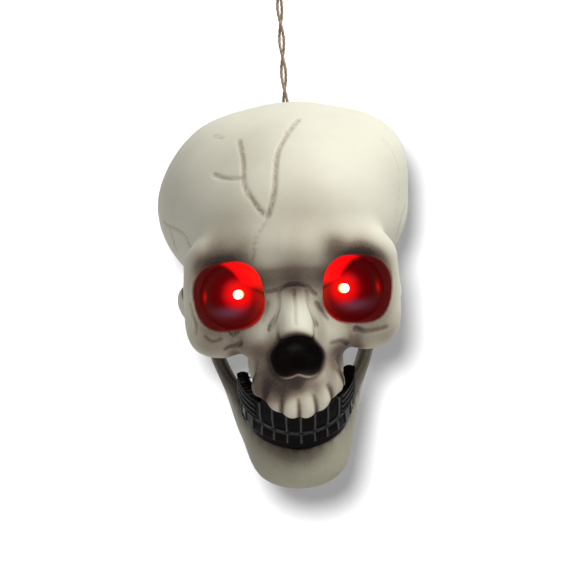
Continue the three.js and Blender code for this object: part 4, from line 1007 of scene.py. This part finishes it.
def bone_finish(name, stops):
    finish = Finish(name, stops[0][1], 0.5, Specular_IOR_Level=0.2, Emission_Strength=1.0)
    # Base colour from the airbrush and painted shade, with random mottle and speckle
    mottle = finish.maths("MULTIPLY", finish.maths("SUBTRACT", finish.noise(60), 0.5), 0.10)
    speck = finish.maths("MULTIPLY", finish.maths("SUBTRACT", finish.noise(1400, 2), 0.5), 0.3)
    airbrush_shade_and_mottle = finish.maths("ADD", finish.attribute("airbrush_and_shade"), mottle)
    sprayed_and_shaded = finish.maths("MULTIPLY", speck, finish.attribute("airbrush_and_shade"))
    airbrush_shade_and_mottle = finish.maths("ADD", airbrush_shade_and_mottle, sprayed_and_shaded, clamp=True)
    # Painted red lamp light: a dark red base where it falls, and red emission for its glow
    painted_red_spill = finish.attribute("painted_red_spill")
    maroon = finish.mix(painted_red_spill, finish.ramp(airbrush_shade_and_mottle, stops), paint(20, 1, 3))
    finish.feed("Base Color", maroon)
    painted_glow = [(0.0, paint(0, 0, 0)), (0.5, paint(186, 0, 8)), (1.0, paint(255, 2, 16))]
    finish.feed("Emission Color", finish.ramp(finish.attribute("painted_glow"), painted_glow))
    gloss = finish.maths("MULTIPLY_ADD", finish.noise(220), 0.16, 0.48)
    finish.feed("Roughness", gloss)
    finish.bump(finish.noise(900, 3), 0.06, 0.0004)
    return finish.material


def tooth_finish():
    finish = Finish("black_tooth", paint(7, 3, 2), 0.3, Specular_IOR_Level=0.04)
    # Painted highlight: light grey on the raised edges of the black tiles
    edge = finish.attribute("edge")
    stops = [(0.0, paint(4, 2, 1)), (0.55, paint(12, 10, 10)), (1.0, paint(80, 80, 81))]
    finish.feed("Base Color", finish.ramp(edge, stops))
    finish.bump(finish.noise(500), 0.08, 0.0003)
    return finish.material


def bowl_finish():
    finish = Finish("red_bowl", paint(40, 1, 3), 0.35, Specular_IOR_Level=0.05, Emission_Strength=1.0)
    # Emission of painted lamp glow, turning towards a grey painted reflection low on the far side
    painted_lamp_glow = finish.attribute("painted_lamp_glow")
    stops = [
        (0.0, paint(24, 0, 3)),
        (0.35, paint(104, 0, 4)),
        (0.7, paint(232, 0, 6)),
        (1.0, paint(255, 6, 14)),
    ]
    painted_glow = finish.mix(finish.attribute("painted_reflection"), finish.ramp(painted_lamp_glow, stops), paint(92, 66, 84))
    finish.feed("Emission Color", painted_glow)
    finish.bump(finish.noise(120, 1), 0.05, 0.0006)
    return finish.material


def lamp_finish():
    finish = Finish("lit_lamp", paint(255, 240, 214), 0.1, Emission_Strength=2.2)
    level = finish.attribute("height")
    stops = [(0.0, paint(255, 30, 10)), (0.45, paint(255, 190, 60)), (0.75, paint(255, 250, 225))]
    finish.feed("Emission Color", finish.ramp(level, stops))
    return finish.material


def twine_finish():
    finish = Finish("jute", paint(146, 122, 98), 0.9, Sheen_Weight=0.3)
    streak = finish.noise(700, 6, 0.7)
    stops = [(0.3, paint(112, 90, 70)), (0.55, paint(172, 148, 122)), (0.8, paint(214, 194, 166))]
    finish.feed("Base Color", finish.ramp(streak, stops))
    finish.bump(finish.noise(2500, 3), 0.5, 0.0003)
    return finish.material


def plain_finish(name, colour, roughness, metallic=0.0, grain=800):
    finish = Finish(name, colour, roughness, Metallic=metallic)
    dark = tuple(0.75 * value for value in colour[:3]) + (1,)
    grained = finish.ramp(finish.noise(grain), [(0.3, dark), (0.7, colour)])
    finish.feed("Base Color", grained)
    finish.bump(finish.noise(grain * 2), 0.08, 0.0002)
    return finish.material


BONE = bone_finish("bone_plastic", [
    (0.0, paint(232, 229, 210)),
    (0.25, paint(198, 190, 170)),
    (0.5, paint(130, 115, 100)),
    (0.75, paint(62, 50, 43)),
    (1.0, paint(12, 8, 7)),
])
JAW_BONE = bone_finish("jaw_plastic", [
    (0.0, paint(226, 220, 196)),
    (0.25, paint(174, 170, 150)),
    (0.5, paint(112, 104, 90)),
    (0.75, paint(56, 48, 40)),
    (1.0, paint(12, 9, 8)),
])
TOOTH = tooth_finish()
BOWL = bowl_finish()
LAMP = lamp_finish()
TWINE = twine_finish()
BLACK = plain_finish("black_plastic", paint(34, 34, 36), 0.5)
WIRE = plain_finish("red_wire", paint(150, 24, 20), 0.35)
STEEL = plain_finish("zinc_steel", paint(186, 188, 190), 0.32, 1.0)
CONTACT = plain_finish("nickel", paint(205, 204, 198), 0.25, 1.0)
CELL = plain_finish("cell_wrap", paint(54, 74, 96), 0.3)


def dress(piece, body, material, node):
    piece.data.materials.append(material)
    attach(piece, body)
    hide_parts(node)


# Airbrushed paint, painted shade and painted red lamp light on the skull
RIM_ANGLES = [-180, -140, -90, -45, 0, 45, 80, 110, 150, 180]
RIM_SHADES = [0.2, 0.3, 0.3, 0.2, 0.1, 0.3, 0.7, 0.7, 0.35, 0.2]
# Painted red lamp light on the sockets' walls, by angle round the socket
WALL_ANGLES = [-180, -120, -90, -45, 0, 20, 40, 75, 95, 110, 180]
WALL_PAINTED_GLOWS = [0.05, 0.05, 0.08, 0.2, 0.45, 0.6, 0.95, 0.75, 0.25, 0.05, 0.05]
# A thin painted line of red light along the rim, by angle
LINE_ANGLES = [-180, -150, -60, -10, 10, 180]
LINE_PAINTED_GLOWS = [0, 0.45, 0.6, 0.3, 0, 0]
# Painted lamp glow in the bowls: where it starts by angle round the socket, and how it fades
GLOW_ANGLES = [-180, -130, -100, -70, -40, 0, 45, 75, 95, 115, 140, 180]
GLOW_EDGES = [1.4, 1.3, 1.0, 0.7, 0.25, -0.15, -0.15, 0.0, 0.35, 0.9, 1.4, 1.4]
FADE_ANGLES = [-90, -40, 0, 20, 40]
FADE_SHARES = [0.2, 0.3, 0.42, 0.6, 1]


def blur(distance, reach):
    return np.exp(-(np.maximum(distance, 0) / reach) ** 2)


def socket_angle(u, v):
    """Angle round a socket in degrees: 0 towards the nose, 90 up, 180 to the side."""
    return np.degrees(np.arctan2(v, -u))


def painted_socket_glow(u, v):
    """Painted lamp glow on the side of a bowl, strongest above on the side of the nose."""
    edge = np.interp(socket_angle(u, v), GLOW_ANGLES, GLOW_EDGES)
    fade = np.interp(socket_angle(u, v), FADE_ANGLES, FADE_SHARES)
    return fade * np.clip((np.hypot(u, v) / BOWL_RADIUS - edge) / 0.4, 0, 1)


def sprayed_and_shaded(p):
    # Airbrush and painted shade from the listed patches
    bare = np.ones(len(p))
    for place, reach, strength in SPRAYS_AND_SHADE:
        bare *= 1 - strength * np.exp(-((p - place) ** 2).sum(1) / reach ** 2)
    return 1 - bare


def lobe_valley_shade(p):
    """Painted shade in the valleys between the lobes of bone."""
    shade = np.zeros(len(p))
    mouth = near(p, *VALLEY_BOX, 0)
    q = in_bite(p[mouth])
    share, front, _ = along_arch(q, UPPER)
    level = q[:, 2] - gum_line(q, UPPER)
    depth = np.exp(-((lobe_phase(share) - 0.5) / 0.13) ** 2) * (front > 0)
    shade[mouth] = depth * np.interp(level, [0, 8, 13], [0.75, 0.5, 0])
    return shade


def skull_airbrush_and_shade(p, normals):
    # Painted shade from how enclosed the surface is: darker in the hollows, fading towards the back
    dark = 1 - openness(outside, p, normals, (3, 8, 16, 26))
    u, v, _ = in_orbit(p)
    around = tunnel(p, 0, TUNNEL_BACK)
    front = (p[:, 1] < -30) * 1.0
    rim = blur(around, 4.5) * np.interp(socket_angle(u, v), RIM_ANGLES, RIM_SHADES) * front
    snout = (p[:, 1] < -55) * 1.0
    nose = nose_opening(p)
    nostril_reach = np.interp(p[:, 0], [0, 10], [2.6, 1.6])
    nostril = np.maximum(blur(nose, nostril_reach), nose < 0.2) * snout
    # Painted highlight: a lit lip along the lower edge of the nose, where the airbrush is taken away
    nose_rim_highlight = np.exp(-((nose - 0.8) / 0.5) ** 2) * (p[:, 2] < -20) * snout
    nose_rim_highlight = nose_rim_highlight * np.interp(np.abs(p[:, 0]), [6, 11], [0.6, 0.15])
    value = np.clip(1.3 * dark - 0.34, 0, 0.7) * np.interp(p[:, 1], [0, SPLIT_Y], [1, 0.3])
    value = 1 - (1 - value) * (1 - rim) * (1 - sprayed_and_shaded(p)) * (1 - nostril) * (1 - lobe_valley_shade(p))
    value = value * (1 - nose_rim_highlight)
    # Grooves of the cracks and sutures painted darker by their depth: partly dirt in them, partly painted
    # shade
    return np.clip(value + 0.35 * np.clip(groove_depth(p), 0, 1), 0, 1)


def socket_light(p):
    """Share of painted red lamp light on the bone of the sockets' walls, and how brightly that painted
    glow shines.
    """
    u, v, w = in_orbit(p)
    painted_red_spill = np.clip((1.1 - tunnel(p, 0, TUNNEL_BACK)) / 0.9, 0, 1) * np.clip((5.5 - w) / 2.5, 0, 1)
    painted_red_spill = painted_red_spill * (w > SEAT - 2) * (p[:, 1] < -40)
    angle = socket_angle(u, v)
    line = np.exp(-((w - 3.4) / 0.8) ** 2) * np.interp(angle, LINE_ANGLES, LINE_PAINTED_GLOWS)
    return painted_red_spill, painted_red_spill * np.maximum(line, np.interp(angle, WALL_ANGLES, WALL_PAINTED_GLOWS))


def jaw_airbrush_and_shade(p, normals):
    # Painted shade from how enclosed the jaw's surface is
    dark = 1 - openness(jaw_field, p, normals, (3, 8, 16))
    b = in_bite(p)
    turn = np.arctan2(b[:, 0] / LOWER["half"], 1 - (b[:, 1] - LOWER["inset"]) / LOWER["depth"])
    between = 0.5 - 0.5 * np.cos(TEETH * np.pi * turn / ARCH_SWEEP)
    below = LOWER["lip"] - b[:, 2]
    # Airbrush and painted shade just below the lower teeth, reaching further down between them
    gum_airbrush_and_shade = blur(below, 3 + 2 * between) * 0.45
    # A wider airbrushed smudge below the teeth with painted shade, darker on the left side away from the
    # light
    smudge_and_side_shade = blur(below, 11) * np.interp(p[:, 0], [-24, -8, 4, 20], [0.4, 0.78, 0.7, 0.15])
    # Painted shade on the chin
    body = 0.24 * np.interp(p[:, 2], [-64, -46], [1, 0])
    # The enclosed-surface painted shade fades up the rami
    value = np.clip(1.2 * dark - 0.25, 0, 0.7) * np.interp(p[:, 2], [-48, -24], [1, 0.25])
    return np.clip(1 - (1 - value) * (1 - gum_airbrush_and_shade) * (1 - smudge_and_side_shade) * (1 - body), 0, 1)


def bone_piece(name, field, detail, low, high, cell, airbrush_and_shade):
    mesh, points, normals = formed(name, field, detail, np.array(low), np.array(high), cell)
    piece = placed(name, mesh, points)
    mark(piece, "airbrush_and_shade", airbrush_and_shade(points, normals))
    # Painted red lamp light on the sockets' walls
    painted_red_spill, painted_glow = socket_light(points)
    mark(piece, "painted_red_spill", painted_red_spill)
    mark(piece, "painted_glow", painted_glow)
    return piece


# Bone pieces
FACE_HIGH = [SKULL_HIGH[0], SPLIT_Y + 2, SKULL_HIGH[2]]
REAR_LOW = [SKULL_LOW[0], SPLIT_Y - 3, -30]
JAW_LOW = [-52, -84, -98]
JAW_HIGH = [52, 4, 3]
face = bone_piece("face_bone", face_field, face_detail, SKULL_LOW, FACE_HIGH, FINE_CELL, skull_airbrush_and_shade)
dress(face, "head", BONE, "face_shell")
rear = bone_piece("rear_bone", rear_field, rear_field, REAR_LOW, SKULL_HIGH, REAR_CELL, skull_airbrush_and_shade)
dress(rear, "head", BONE, "rear_shell")
jaw = bone_piece("jaw_bone", jaw_field, jaw_field, JAW_LOW, JAW_HIGH, JAW_CELL, jaw_airbrush_and_shade)
dress(jaw, "jaw", JAW_BONE, "jaw")


# Teeth
def tooth_piece(name, arch, body, node):
    def field(p):
        return tooth_row(p, arch)

    ends = (arch["tip"], arch["root"])
    corners = out_of_bite([[x, y, z] for x in (-34, 34) for y in (-2, 40) for z in ends])
    low, high = corners.min(0) - 4, corners.max(0) + [4, 4, LIP_CURVE + 4]
    mesh, points, _ = formed(name, field, field, low, high, TOOTH_CELL)
    piece = placed(name, mesh, points)
    q = in_bite(points)
    share, front, _ = along_arch(q, arch)
    level = tooth_level(q, arch, share)
    hollow_share, _ = tile_hollow(share, level, arch)
    # Painted highlight on the tiles' raised edges, and across the faces of the molars on the right, lit
    # from that side
    ribs = (share > RIB_SHARE) & (arch is UPPER)
    edge = np.where(ribs, 0.85 * hollow_share, 1 - hollow_share)
    mark(piece, "edge", np.where((front > 0) & (level < 1), edge, 0))
    dress(piece, body, TOOTH, node)


tooth_piece("upper_tooth_row", UPPER, "head", "upper_teeth")
tooth_piece("lower_tooth_row", LOWER, "jaw", "lower_teeth")


def ring_faces(rings, sides, closed):
    """Quads between neighbouring rings, and from the last to the first where closed."""
    faces = []
    for r in range(rings if closed else rings - 1):
        s = (r + 1) % rings
        for k in range(sides):
            n = (k + 1) % sides
            faces.append((r * sides + k, r * sides + n, s * sides + n, s * sides + k))
    return faces


# Turned pieces in the eye sockets
def lathe(profile, sides, place):
    """Closed turned mesh: rings of a closed profile of radius and depth pairs."""
    angles = 2 * np.pi * np.arange(sides) / sides
    profile = np.array(profile, float)
    rings = [[(r * math.cos(a), r * math.sin(a), w) for a in angles] for r, w in profile]
    points = np.array(rings).reshape(-1, 3)
    return place(points), np.array(ring_faces(len(profile), sides, True)), points


def orbit_place(side):
    def place(q):
        p = ORBIT_AT + q[:, :1] * orbit_across + q[:, 1:2] * orbit_up + q[:, 2:] * orbit_out
        return p * [side, 1, 1]

    return place


def facing_out(mesh):
    form = bmesh.new()
    form.from_mesh(mesh)
    bmesh.ops.remove_doubles(form, verts=form.verts, dist=1e-6)
    bmesh.ops.recalc_face_normals(form, faces=form.faces)
    form.to_mesh(mesh)
    form.free()


BOWL_FRONT = SEAT - GAP
LED_RADIUS = 2.5
LED_LENGTH = 8.6
LED_RIM = 0.6
LED_FLANGE = 0.45


def bowl_profile():
    turns = np.radians(np.linspace(0, 90, 25))
    hole = LED_RADIUS + GAP

    def arc(grow):
        spots = [((BOWL_RADIUS + grow) * math.cos(t), (BOWL_DEPTH + grow) * math.sin(t)) for t in turns]
        return [(r, BOWL_FRONT - depth) for r, depth in spots if r > hole + LED_RIM]

    back = BOWL_FRONT - FLANGE_THICKNESS
    flange = BOWL_RADIUS + FLANGE_WIDTH
    profile = [(flange, BOWL_FRONT)]
    profile += arc(0)
    profile += [(hole, BOWL_FRONT - BOWL_DEPTH), (hole, BOWL_FRONT - BOWL_DEPTH - BOWL_WALL)]
    profile += [spot for spot in arc(BOWL_WALL)[::-1] if spot[1] < back]
    return profile + [(BOWL_RADIUS + BOWL_WALL, back), (flange, back)]


def painted_bowl_glow(q):
    """Painted lamp light in the red plastic: a faint glow all over, a halo round the lamp and the glow on
    the side of the nose.
    """
    u, v = q[:, 0] / BOWL_RADIUS, q[:, 1] / BOWL_RADIUS
    halo = 0.95 * np.exp(-(np.hypot(u, v) / 0.52) ** 2)
    # Painted reflection: a bright streak on the far side of the bowl
    streak = 0.5 * np.exp(-((u - 0.93) / 0.05) ** 2 - ((v + 0.05) / 0.22) ** 2)
    # Painted shade along a thin crease across the glow
    crease = 1 - 0.55 * np.exp(-((v - 0.3 - 0.3 * u) / 0.06) ** 2) * (u < -0.1)
    painted_lamp_glow = np.maximum.reduce([halo, streak, crease * painted_socket_glow(q[:, 0], q[:, 1])])
    return np.clip(0.06 + painted_lamp_glow, 0, 1)


def painted_bowl_reflection(q):
    """Painted reflection: a grey sheen in the lower part of the bowl, on the side away from the nose."""
    u, v = q[:, 0] / BOWL_RADIUS, q[:, 1] / BOWL_RADIUS
    return 0.6 * np.exp(-((u - 0.25) / 0.4) ** 2 - ((v + 0.55 - 0.25 * (u - 0.25) ** 2) / 0.14) ** 2)


LAMP_BASE = BOWL_FRONT - BOWL_DEPTH - BOWL_WALL - GAP


def lamp_profile():
    top = LAMP_BASE + LED_LENGTH - 1
    turns = np.radians(np.linspace(0, 88, 12))
    dome = [(LED_RADIUS * math.cos(t), top - LED_RADIUS + LED_RADIUS * math.sin(t)) for t in turns]
    rim = LED_RADIUS + LED_FLANGE
    foot = LAMP_BASE - 1
    base = [(0.02, foot), (rim, foot), (rim, LAMP_BASE), (LED_RADIUS, LAMP_BASE)]
    return base + dome


for side, word in ((1, "right"), (-1, "left")):
    spots, faces, local = lathe(bowl_profile(), 72, orbit_place(side))
    mesh = mesh_of(f"red_bowl_{word}", hung(spots), faces)
    bowl = add_object(f"red_bowl_{word}", mesh)
    mark(bowl, "painted_lamp_glow", painted_bowl_glow(local))
    mark(bowl, "painted_reflection", painted_bowl_reflection(local))
    facing_out(mesh)
    dress(bowl, "head", BOWL, f"eye_bowl_{word}")
    spots, faces, local = lathe(lamp_profile(), 40, orbit_place(side))
    mesh = mesh_of(f"lamp_{word}", hung(spots), faces)
    lamp = add_object(f"lamp_{word}", mesh)
    mark(lamp, "height", (local[:, 2] - LAMP_BASE) / LED_LENGTH)
    facing_out(mesh)
    dress(lamp, "head", LAMP, f"led_{word}")


# Tubes along a line of points, with an optional section that changes along it
def tube(points, radius, sides, shape=None):
    points = np.array(points, float)
    ways = unit(np.gradient(points, axis=0))
    side = unit(np.cross(ways[0], [0.3, 0.8, 0.52]))
    rings = []
    travelled = 0.0
    angles = 2 * np.pi * np.arange(sides) / sides
    for i, (spot, way) in enumerate(zip(points, ways)):
        side = unit(side - way * (side @ way))
        other = np.cross(way, side)
        if i:
            travelled += np.linalg.norm(spot - points[i - 1])
        reach = radius if shape is None else radius * shape(angles, travelled)
        across = (reach * np.cos(angles))[:, None] * side
        rings.append(spot + across + (reach * np.sin(angles))[:, None] * other)
    spots = np.concatenate(rings)
    faces = ring_faces(len(rings), sides, False)
    mesh = bpy.data.meshes.new("tube")
    last = (len(rings) - 1) * sides
    ends = [tuple(range(sides))[::-1], tuple(range(last, last + sides))]
    mesh.from_pydata(spots.tolist(), [], faces + ends)
    mesh.shade_smooth()
    facing_out(mesh)
    return mesh


# Twine: up one strand, round the loop and down the other, in the hung frame
STRAND_RADIUS = 0.85
TWIST_RADIUS = 1.25
TWIST_PITCH = 37.4
LOOP_RADIUS = 4.5
LOOP_LENGTH = 16
WASHER_THICKNESS = 1.2
STRAND_FOOT = -CORD_RISE - WALL - GAP - WASHER_THICKNESS


def twine_route():
    def strand(side):
        z = np.linspace(STRAND_FOOT, -LOOP_LENGTH, 81)
        angle = 2 * np.pi * (-LOOP_LENGTH - z) / TWIST_PITCH
        return np.stack([side * TWIST_RADIUS * np.cos(angle), side * TWIST_RADIUS * np.sin(angle), z], 1)

    top = STRAND_RADIUS - LOOP_RADIUS
    share = np.linspace(0, 1, 25)[1:-1]
    ease = share * share * (3 - 2 * share)
    width = TWIST_RADIUS + (LOOP_RADIUS - TWIST_RADIUS) * ease
    rise = np.stack([width, 0 * share, -LOOP_LENGTH + (top + LOOP_LENGTH) * share], 1)
    angle = np.linspace(0, np.pi, 41)
    bow = np.stack([LOOP_RADIUS * np.cos(angle), 0 * angle, top + LOOP_RADIUS * np.sin(angle)], 1)
    fall = rise[::-1] * [-1, 1, 1]
    return np.concatenate([strand(1), rise, bow, fall, strand(-1)[::-1]])


def resampled(points, spacing):
    lengths = np.concatenate([[0], np.cumsum(np.linalg.norm(np.diff(points, axis=0), axis=1))])
    places = np.linspace(0, lengths[-1], int(lengths[-1] / spacing) + 1)
    return np.stack([np.interp(places, lengths, points[:, k]) for k in range(3)], 1)


def plied(angles, travelled):
    """Three plies that wind round the strand."""
    return 0.93 + 0.13 * np.cos(3 * (angles - 2 * np.pi * travelled / (9 * MM)))


route = resampled(twine_route() * MM, 0.45 * MM)
twine = add_object("twine", tube(route, STRAND_RADIUS * MM, 18, plied))
dress(twine, "head", TWINE, "hanging_cord")


def knot_route():
    turn = np.linspace(0, 2 * np.pi, 161)
    ring = 1.9 + 1.2 * np.cos(3 * turn)
    middle = STRAND_FOOT - 5
    return np.stack([ring * np.cos(2 * turn), ring * np.sin(2 * turn), middle + 2.0 * np.sin(3 * turn)], 1)


knot = add_object("twine_knot", tube(knot_route()[:-4] * MM, 1.1 * MM, 14, plied))
dress(knot, "head", TWINE, "cord_knot")

# Jaw springs
SPRING_COIL_RADIUS = 2.6
SPRING_RING_RADIUS = 2.2
SPRING_WIRE_RADIUS = 0.5
SPRING_TURNS = 7.5


def spring_route():
    turn = np.radians(np.linspace(60, 360, 28))
    ring = np.stack([0 * turn, SPRING_RING_RADIUS * np.sin(turn), SPRING_RING_RADIUS * np.cos(turn)], 1)
    start = SPRING_RING_RADIUS + 2.6
    half = np.vstack([ring, [0, SPRING_COIL_RADIUS * 0.75, SPRING_RING_RADIUS + 0.7]])
    share = np.linspace(0, 1, int(SPRING_TURNS * 20) + 1)
    angle = np.pi / 2 - 2 * np.pi * SPRING_TURNS * share
    height = start + share * (SPRING_LENGTH - 2 * start)
    coil = np.stack([SPRING_COIL_RADIUS * np.cos(angle), SPRING_COIL_RADIUS * np.sin(angle), height], 1)
    far = half[::-1] * [1, -1, -1] + [0, 0, SPRING_LENGTH]
    return np.vstack([half, coil, far])


for side, word in ((1, "right"), (-1, "left")):
    foot = hung([spring_foot * [side, 1, 1]])[0]
    spots = spring_route() * [side, 1, 1] * MM + foot
    spring = add_object(f"coil_{word}", tube(spots, SPRING_WIRE_RADIUS * MM, 10))
    spring.data.materials.append(STEEL)
    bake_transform(spring)
    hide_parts(f"jaw_spring_{word}")

# CAD nodes that keep their shape
KEPT = {
    BLACK: ["battery_box", "battery_door", "switch_body", "switch_knob"],
    WIRE: ["battery_lead"],
    STEEL: ["battery_door_screw", "cord_washer"],
    CELL: [],
    CONTACT: ["contact_bridge"],
}
for word in ("right", "left"):
    KEPT[BLACK].append(f"led_holder_{word}")
    KEPT[WIRE].append(f"lead_{word}")
    KEPT[STEEL].append(f"jaw_pivot_{word}")
for k in (1, 2):
    KEPT[STEEL].append(f"battery_box_screw_{k}")
    KEPT[CELL].append(f"battery_{k}")
    KEPT[CONTACT] += [f"contact_terminal_{k}", f"contact_spring_{k}"]
KEPT[STEEL] += [f"shell_screw_{k}" for k in (1, 2, 3, 4)]
for material, names in KEPT.items():
    for name in names:
        slots = frame["nodes"][name].data.materials
        slots.clear()
        slots.append(material)


# Camera at the photograph's place, in skull millimetres
FRAME_PIXELS = 585
FOCAL_PIXELS = 1409.6
MIDDLE_PIXEL = (287.6, 277.95)
SIGHT_DISTANCE = 800
SIGHT_TURN = math.radians(-2)
SIGHT_ROLL = math.radians(3)
SIGHT_POINT = np.array([0, 0, 5])


def aim_camera():
    flat = np.array([math.sin(SIGHT_TURN), -math.cos(SIGHT_TURN), 0])
    back = math.cos(SIGHT_RISE) * flat + [0, 0, math.sin(SIGHT_RISE)]
    level = unit(np.cross(-back, [0, 0, 1]))
    upward = np.cross(level, -back)
    right = level * math.cos(SIGHT_ROLL) - upward * math.sin(SIGHT_ROLL)
    up = level * math.sin(SIGHT_ROLL) + upward * math.cos(SIGHT_ROLL)
    shift = [(FRAME_PIXELS / 2 - middle) / FOCAL_PIXELS for middle in MIDDLE_PIXEL]
    ahead = unit(-back + shift[0] * right - shift[1] * up)
    right = unit(right - ahead * (right @ ahead))
    up = np.cross(right, ahead)
    place = hung([SIGHT_POINT + SIGHT_DISTANCE * back])[0]
    turn = HEAD_TURN @ np.stack([right, up, -ahead], 1)
    camera = bpy.data.objects.new("camera", bpy.data.cameras.new("camera"))
    camera.data.lens = FOCAL_PIXELS / FRAME_PIXELS * camera.data.sensor_width
    camera.data.clip_start = 0.01
    camera.matrix_world = Matrix.Translation(place) @ Matrix(turn.tolist()).to_4x4()
    bpy.context.scene.collection.objects.link(camera)
    bpy.context.scene.camera = camera
    return camera


camera = aim_camera()


# Wall behind, floor below, and soft light
WALL_Y = 0.3
FLOOR_Z = -0.47
FLOOR_FRONT = -2
WALL_TOP = 1.2
STAGE_HALF = 1.5


def flat_sheet(name, corners):
    mesh = bpy.data.meshes.new(name)
    mesh.from_pydata(corners, [], [tuple(range(len(corners)))])
    return add_object(name, mesh)


def seen_rays(tree):
    """1 for rays that show the background: to the camera, in gloss and through clear things."""
    paths = tree.nodes.new("ShaderNodeLightPath")
    total = paths.outputs["Is Camera Ray"]
    for name in ("Is Glossy Ray", "Is Transmission Ray"):
        node = tree.nodes.new("ShaderNodeMath")
        node.operation = "MAXIMUM"
        tree.links.new(total, node.inputs[0])
        tree.links.new(paths.outputs[name], node.inputs[1])
        total = node.outputs[0]
    return total


def wall_material():
    finish = Finish("white_wall", (0.8, 0.8, 0.8, 1), 0.9)
    seen = seen_rays(finish.tree)
    dim = finish.ramp(seen, [(0.0, (0.35, 0.35, 0.35, 1)), (1.0, (0.8, 0.8, 0.8, 1))])
    finish.feed("Base Color", dim)
    finish.set("Specular IOR Level", 0.0)
    back = finish.add("ShaderNodeNewGeometry").outputs["Backfacing"]
    clear = finish.add("ShaderNodeBsdfTransparent")
    mix = finish.add("ShaderNodeMixShader")
    finish.link(back, mix.inputs[0])
    finish.link(finish.shader.outputs[0], mix.inputs[1])
    finish.link(clear.outputs[0], mix.inputs[2])
    finish.link(mix.outputs[0], finish.tree.nodes["Material Output"].inputs["Surface"])
    return finish.material


def light(name, kind, place, target, energy, size):
    lamp = bpy.data.lights.new(name, kind)
    lamp.energy = energy
    if kind == "AREA":
        lamp.size = size
    if kind == "SUN":
        lamp.angle = size
    thing = bpy.data.objects.new(name, lamp)
    thing.location = place
    thing.rotation_euler = (Vector(target) - Vector(place)).to_track_quat("-Z", "Y").to_euler()
    bpy.context.scene.collection.objects.link(thing)
    return thing


white = wall_material()
foot_line = [(-STAGE_HALF, WALL_Y, FLOOR_Z), (STAGE_HALF, WALL_Y, FLOOR_Z)]
top_line = [(STAGE_HALF, WALL_Y, WALL_TOP), (-STAGE_HALF, WALL_Y, WALL_TOP)]
front_line = [(-STAGE_HALF, FLOOR_FRONT, FLOOR_Z), (STAGE_HALF, FLOOR_FRONT, FLOOR_Z)]
wall = flat_sheet("wall", foot_line + top_line)
floor = flat_sheet("floor", front_line + foot_line[::-1])
for sheet in (wall, floor):
    sheet.data.materials.append(white)
    sheet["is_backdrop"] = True

MIDDLE = (0, -0.02, -0.2)
BESIDE_CAMERA = camera.matrix_world @ Vector((-0.026, 0.042, 0))
key = light("key", "AREA", (0.47, -0.4, 0.66), MIDDLE, 8, 0.4)
fill = light("fill", "AREA", (-0.8, -0.9, 0.3), MIDDLE, 1.1, 0.8)
low_fill = light("low_fill", "AREA", (0.35, -0.95, -0.3), MIDDLE, 1.5, 0.6)
shadow_maker = light("shadow_maker", "AREA", BESIDE_CAMERA, MIDDLE, 14, 0.056)
shadow_maker.data.shape = "DISK"
stage_fill = light("stage_fill", "SUN", (0, -1, 0.1), (0, 0, 0), 0.8, math.radians(60))


def light_group(name, state, *things):
    """Things that a light shines on or that shade it, alone or all but them."""
    group = bpy.data.collections.new(name)
    for thing in things:
        group.objects.link(thing)
    for entry in group.collection_objects:
        entry.light_linking.link_state = state
    return group


stage_only = light_group("stage_only", "INCLUDE", wall, floor)
all_but_stage = light_group("all_but_stage", "EXCLUDE", wall, floor)
all_but_twine = light_group("all_but_twine", "EXCLUDE", twine)
for thing in (key, fill, low_fill):
    thing.light_linking.receiver_collection = all_but_stage
for thing in (shadow_maker, stage_fill):
    thing.light_linking.receiver_collection = stage_only
    thing.light_linking.blocker_collection = all_but_twine

world = bpy.data.worlds.new("studio")
bpy.context.scene.world = world
world.use_nodes = True
tree = world.node_tree
background = tree.nodes["Background"]
background.inputs["Color"].default_value = (1, 1, 1, 1)
strength = tree.nodes.new("ShaderNodeMapRange")
strength.inputs["To Min"].default_value = 0.24
strength.inputs["To Max"].default_value = 1.0
tree.links.new(seen_rays(tree), strength.inputs["Value"])
tree.links.new(strength.outputs[0], background.inputs["Strength"])
bpy.context.scene.view_settings.view_transform = "Standard"

boxes = {"cad": CAD_BOX, "visual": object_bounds()}
{name: [[float(v) for v in corner] for corner in pair] for name, pair in boxes.items()}
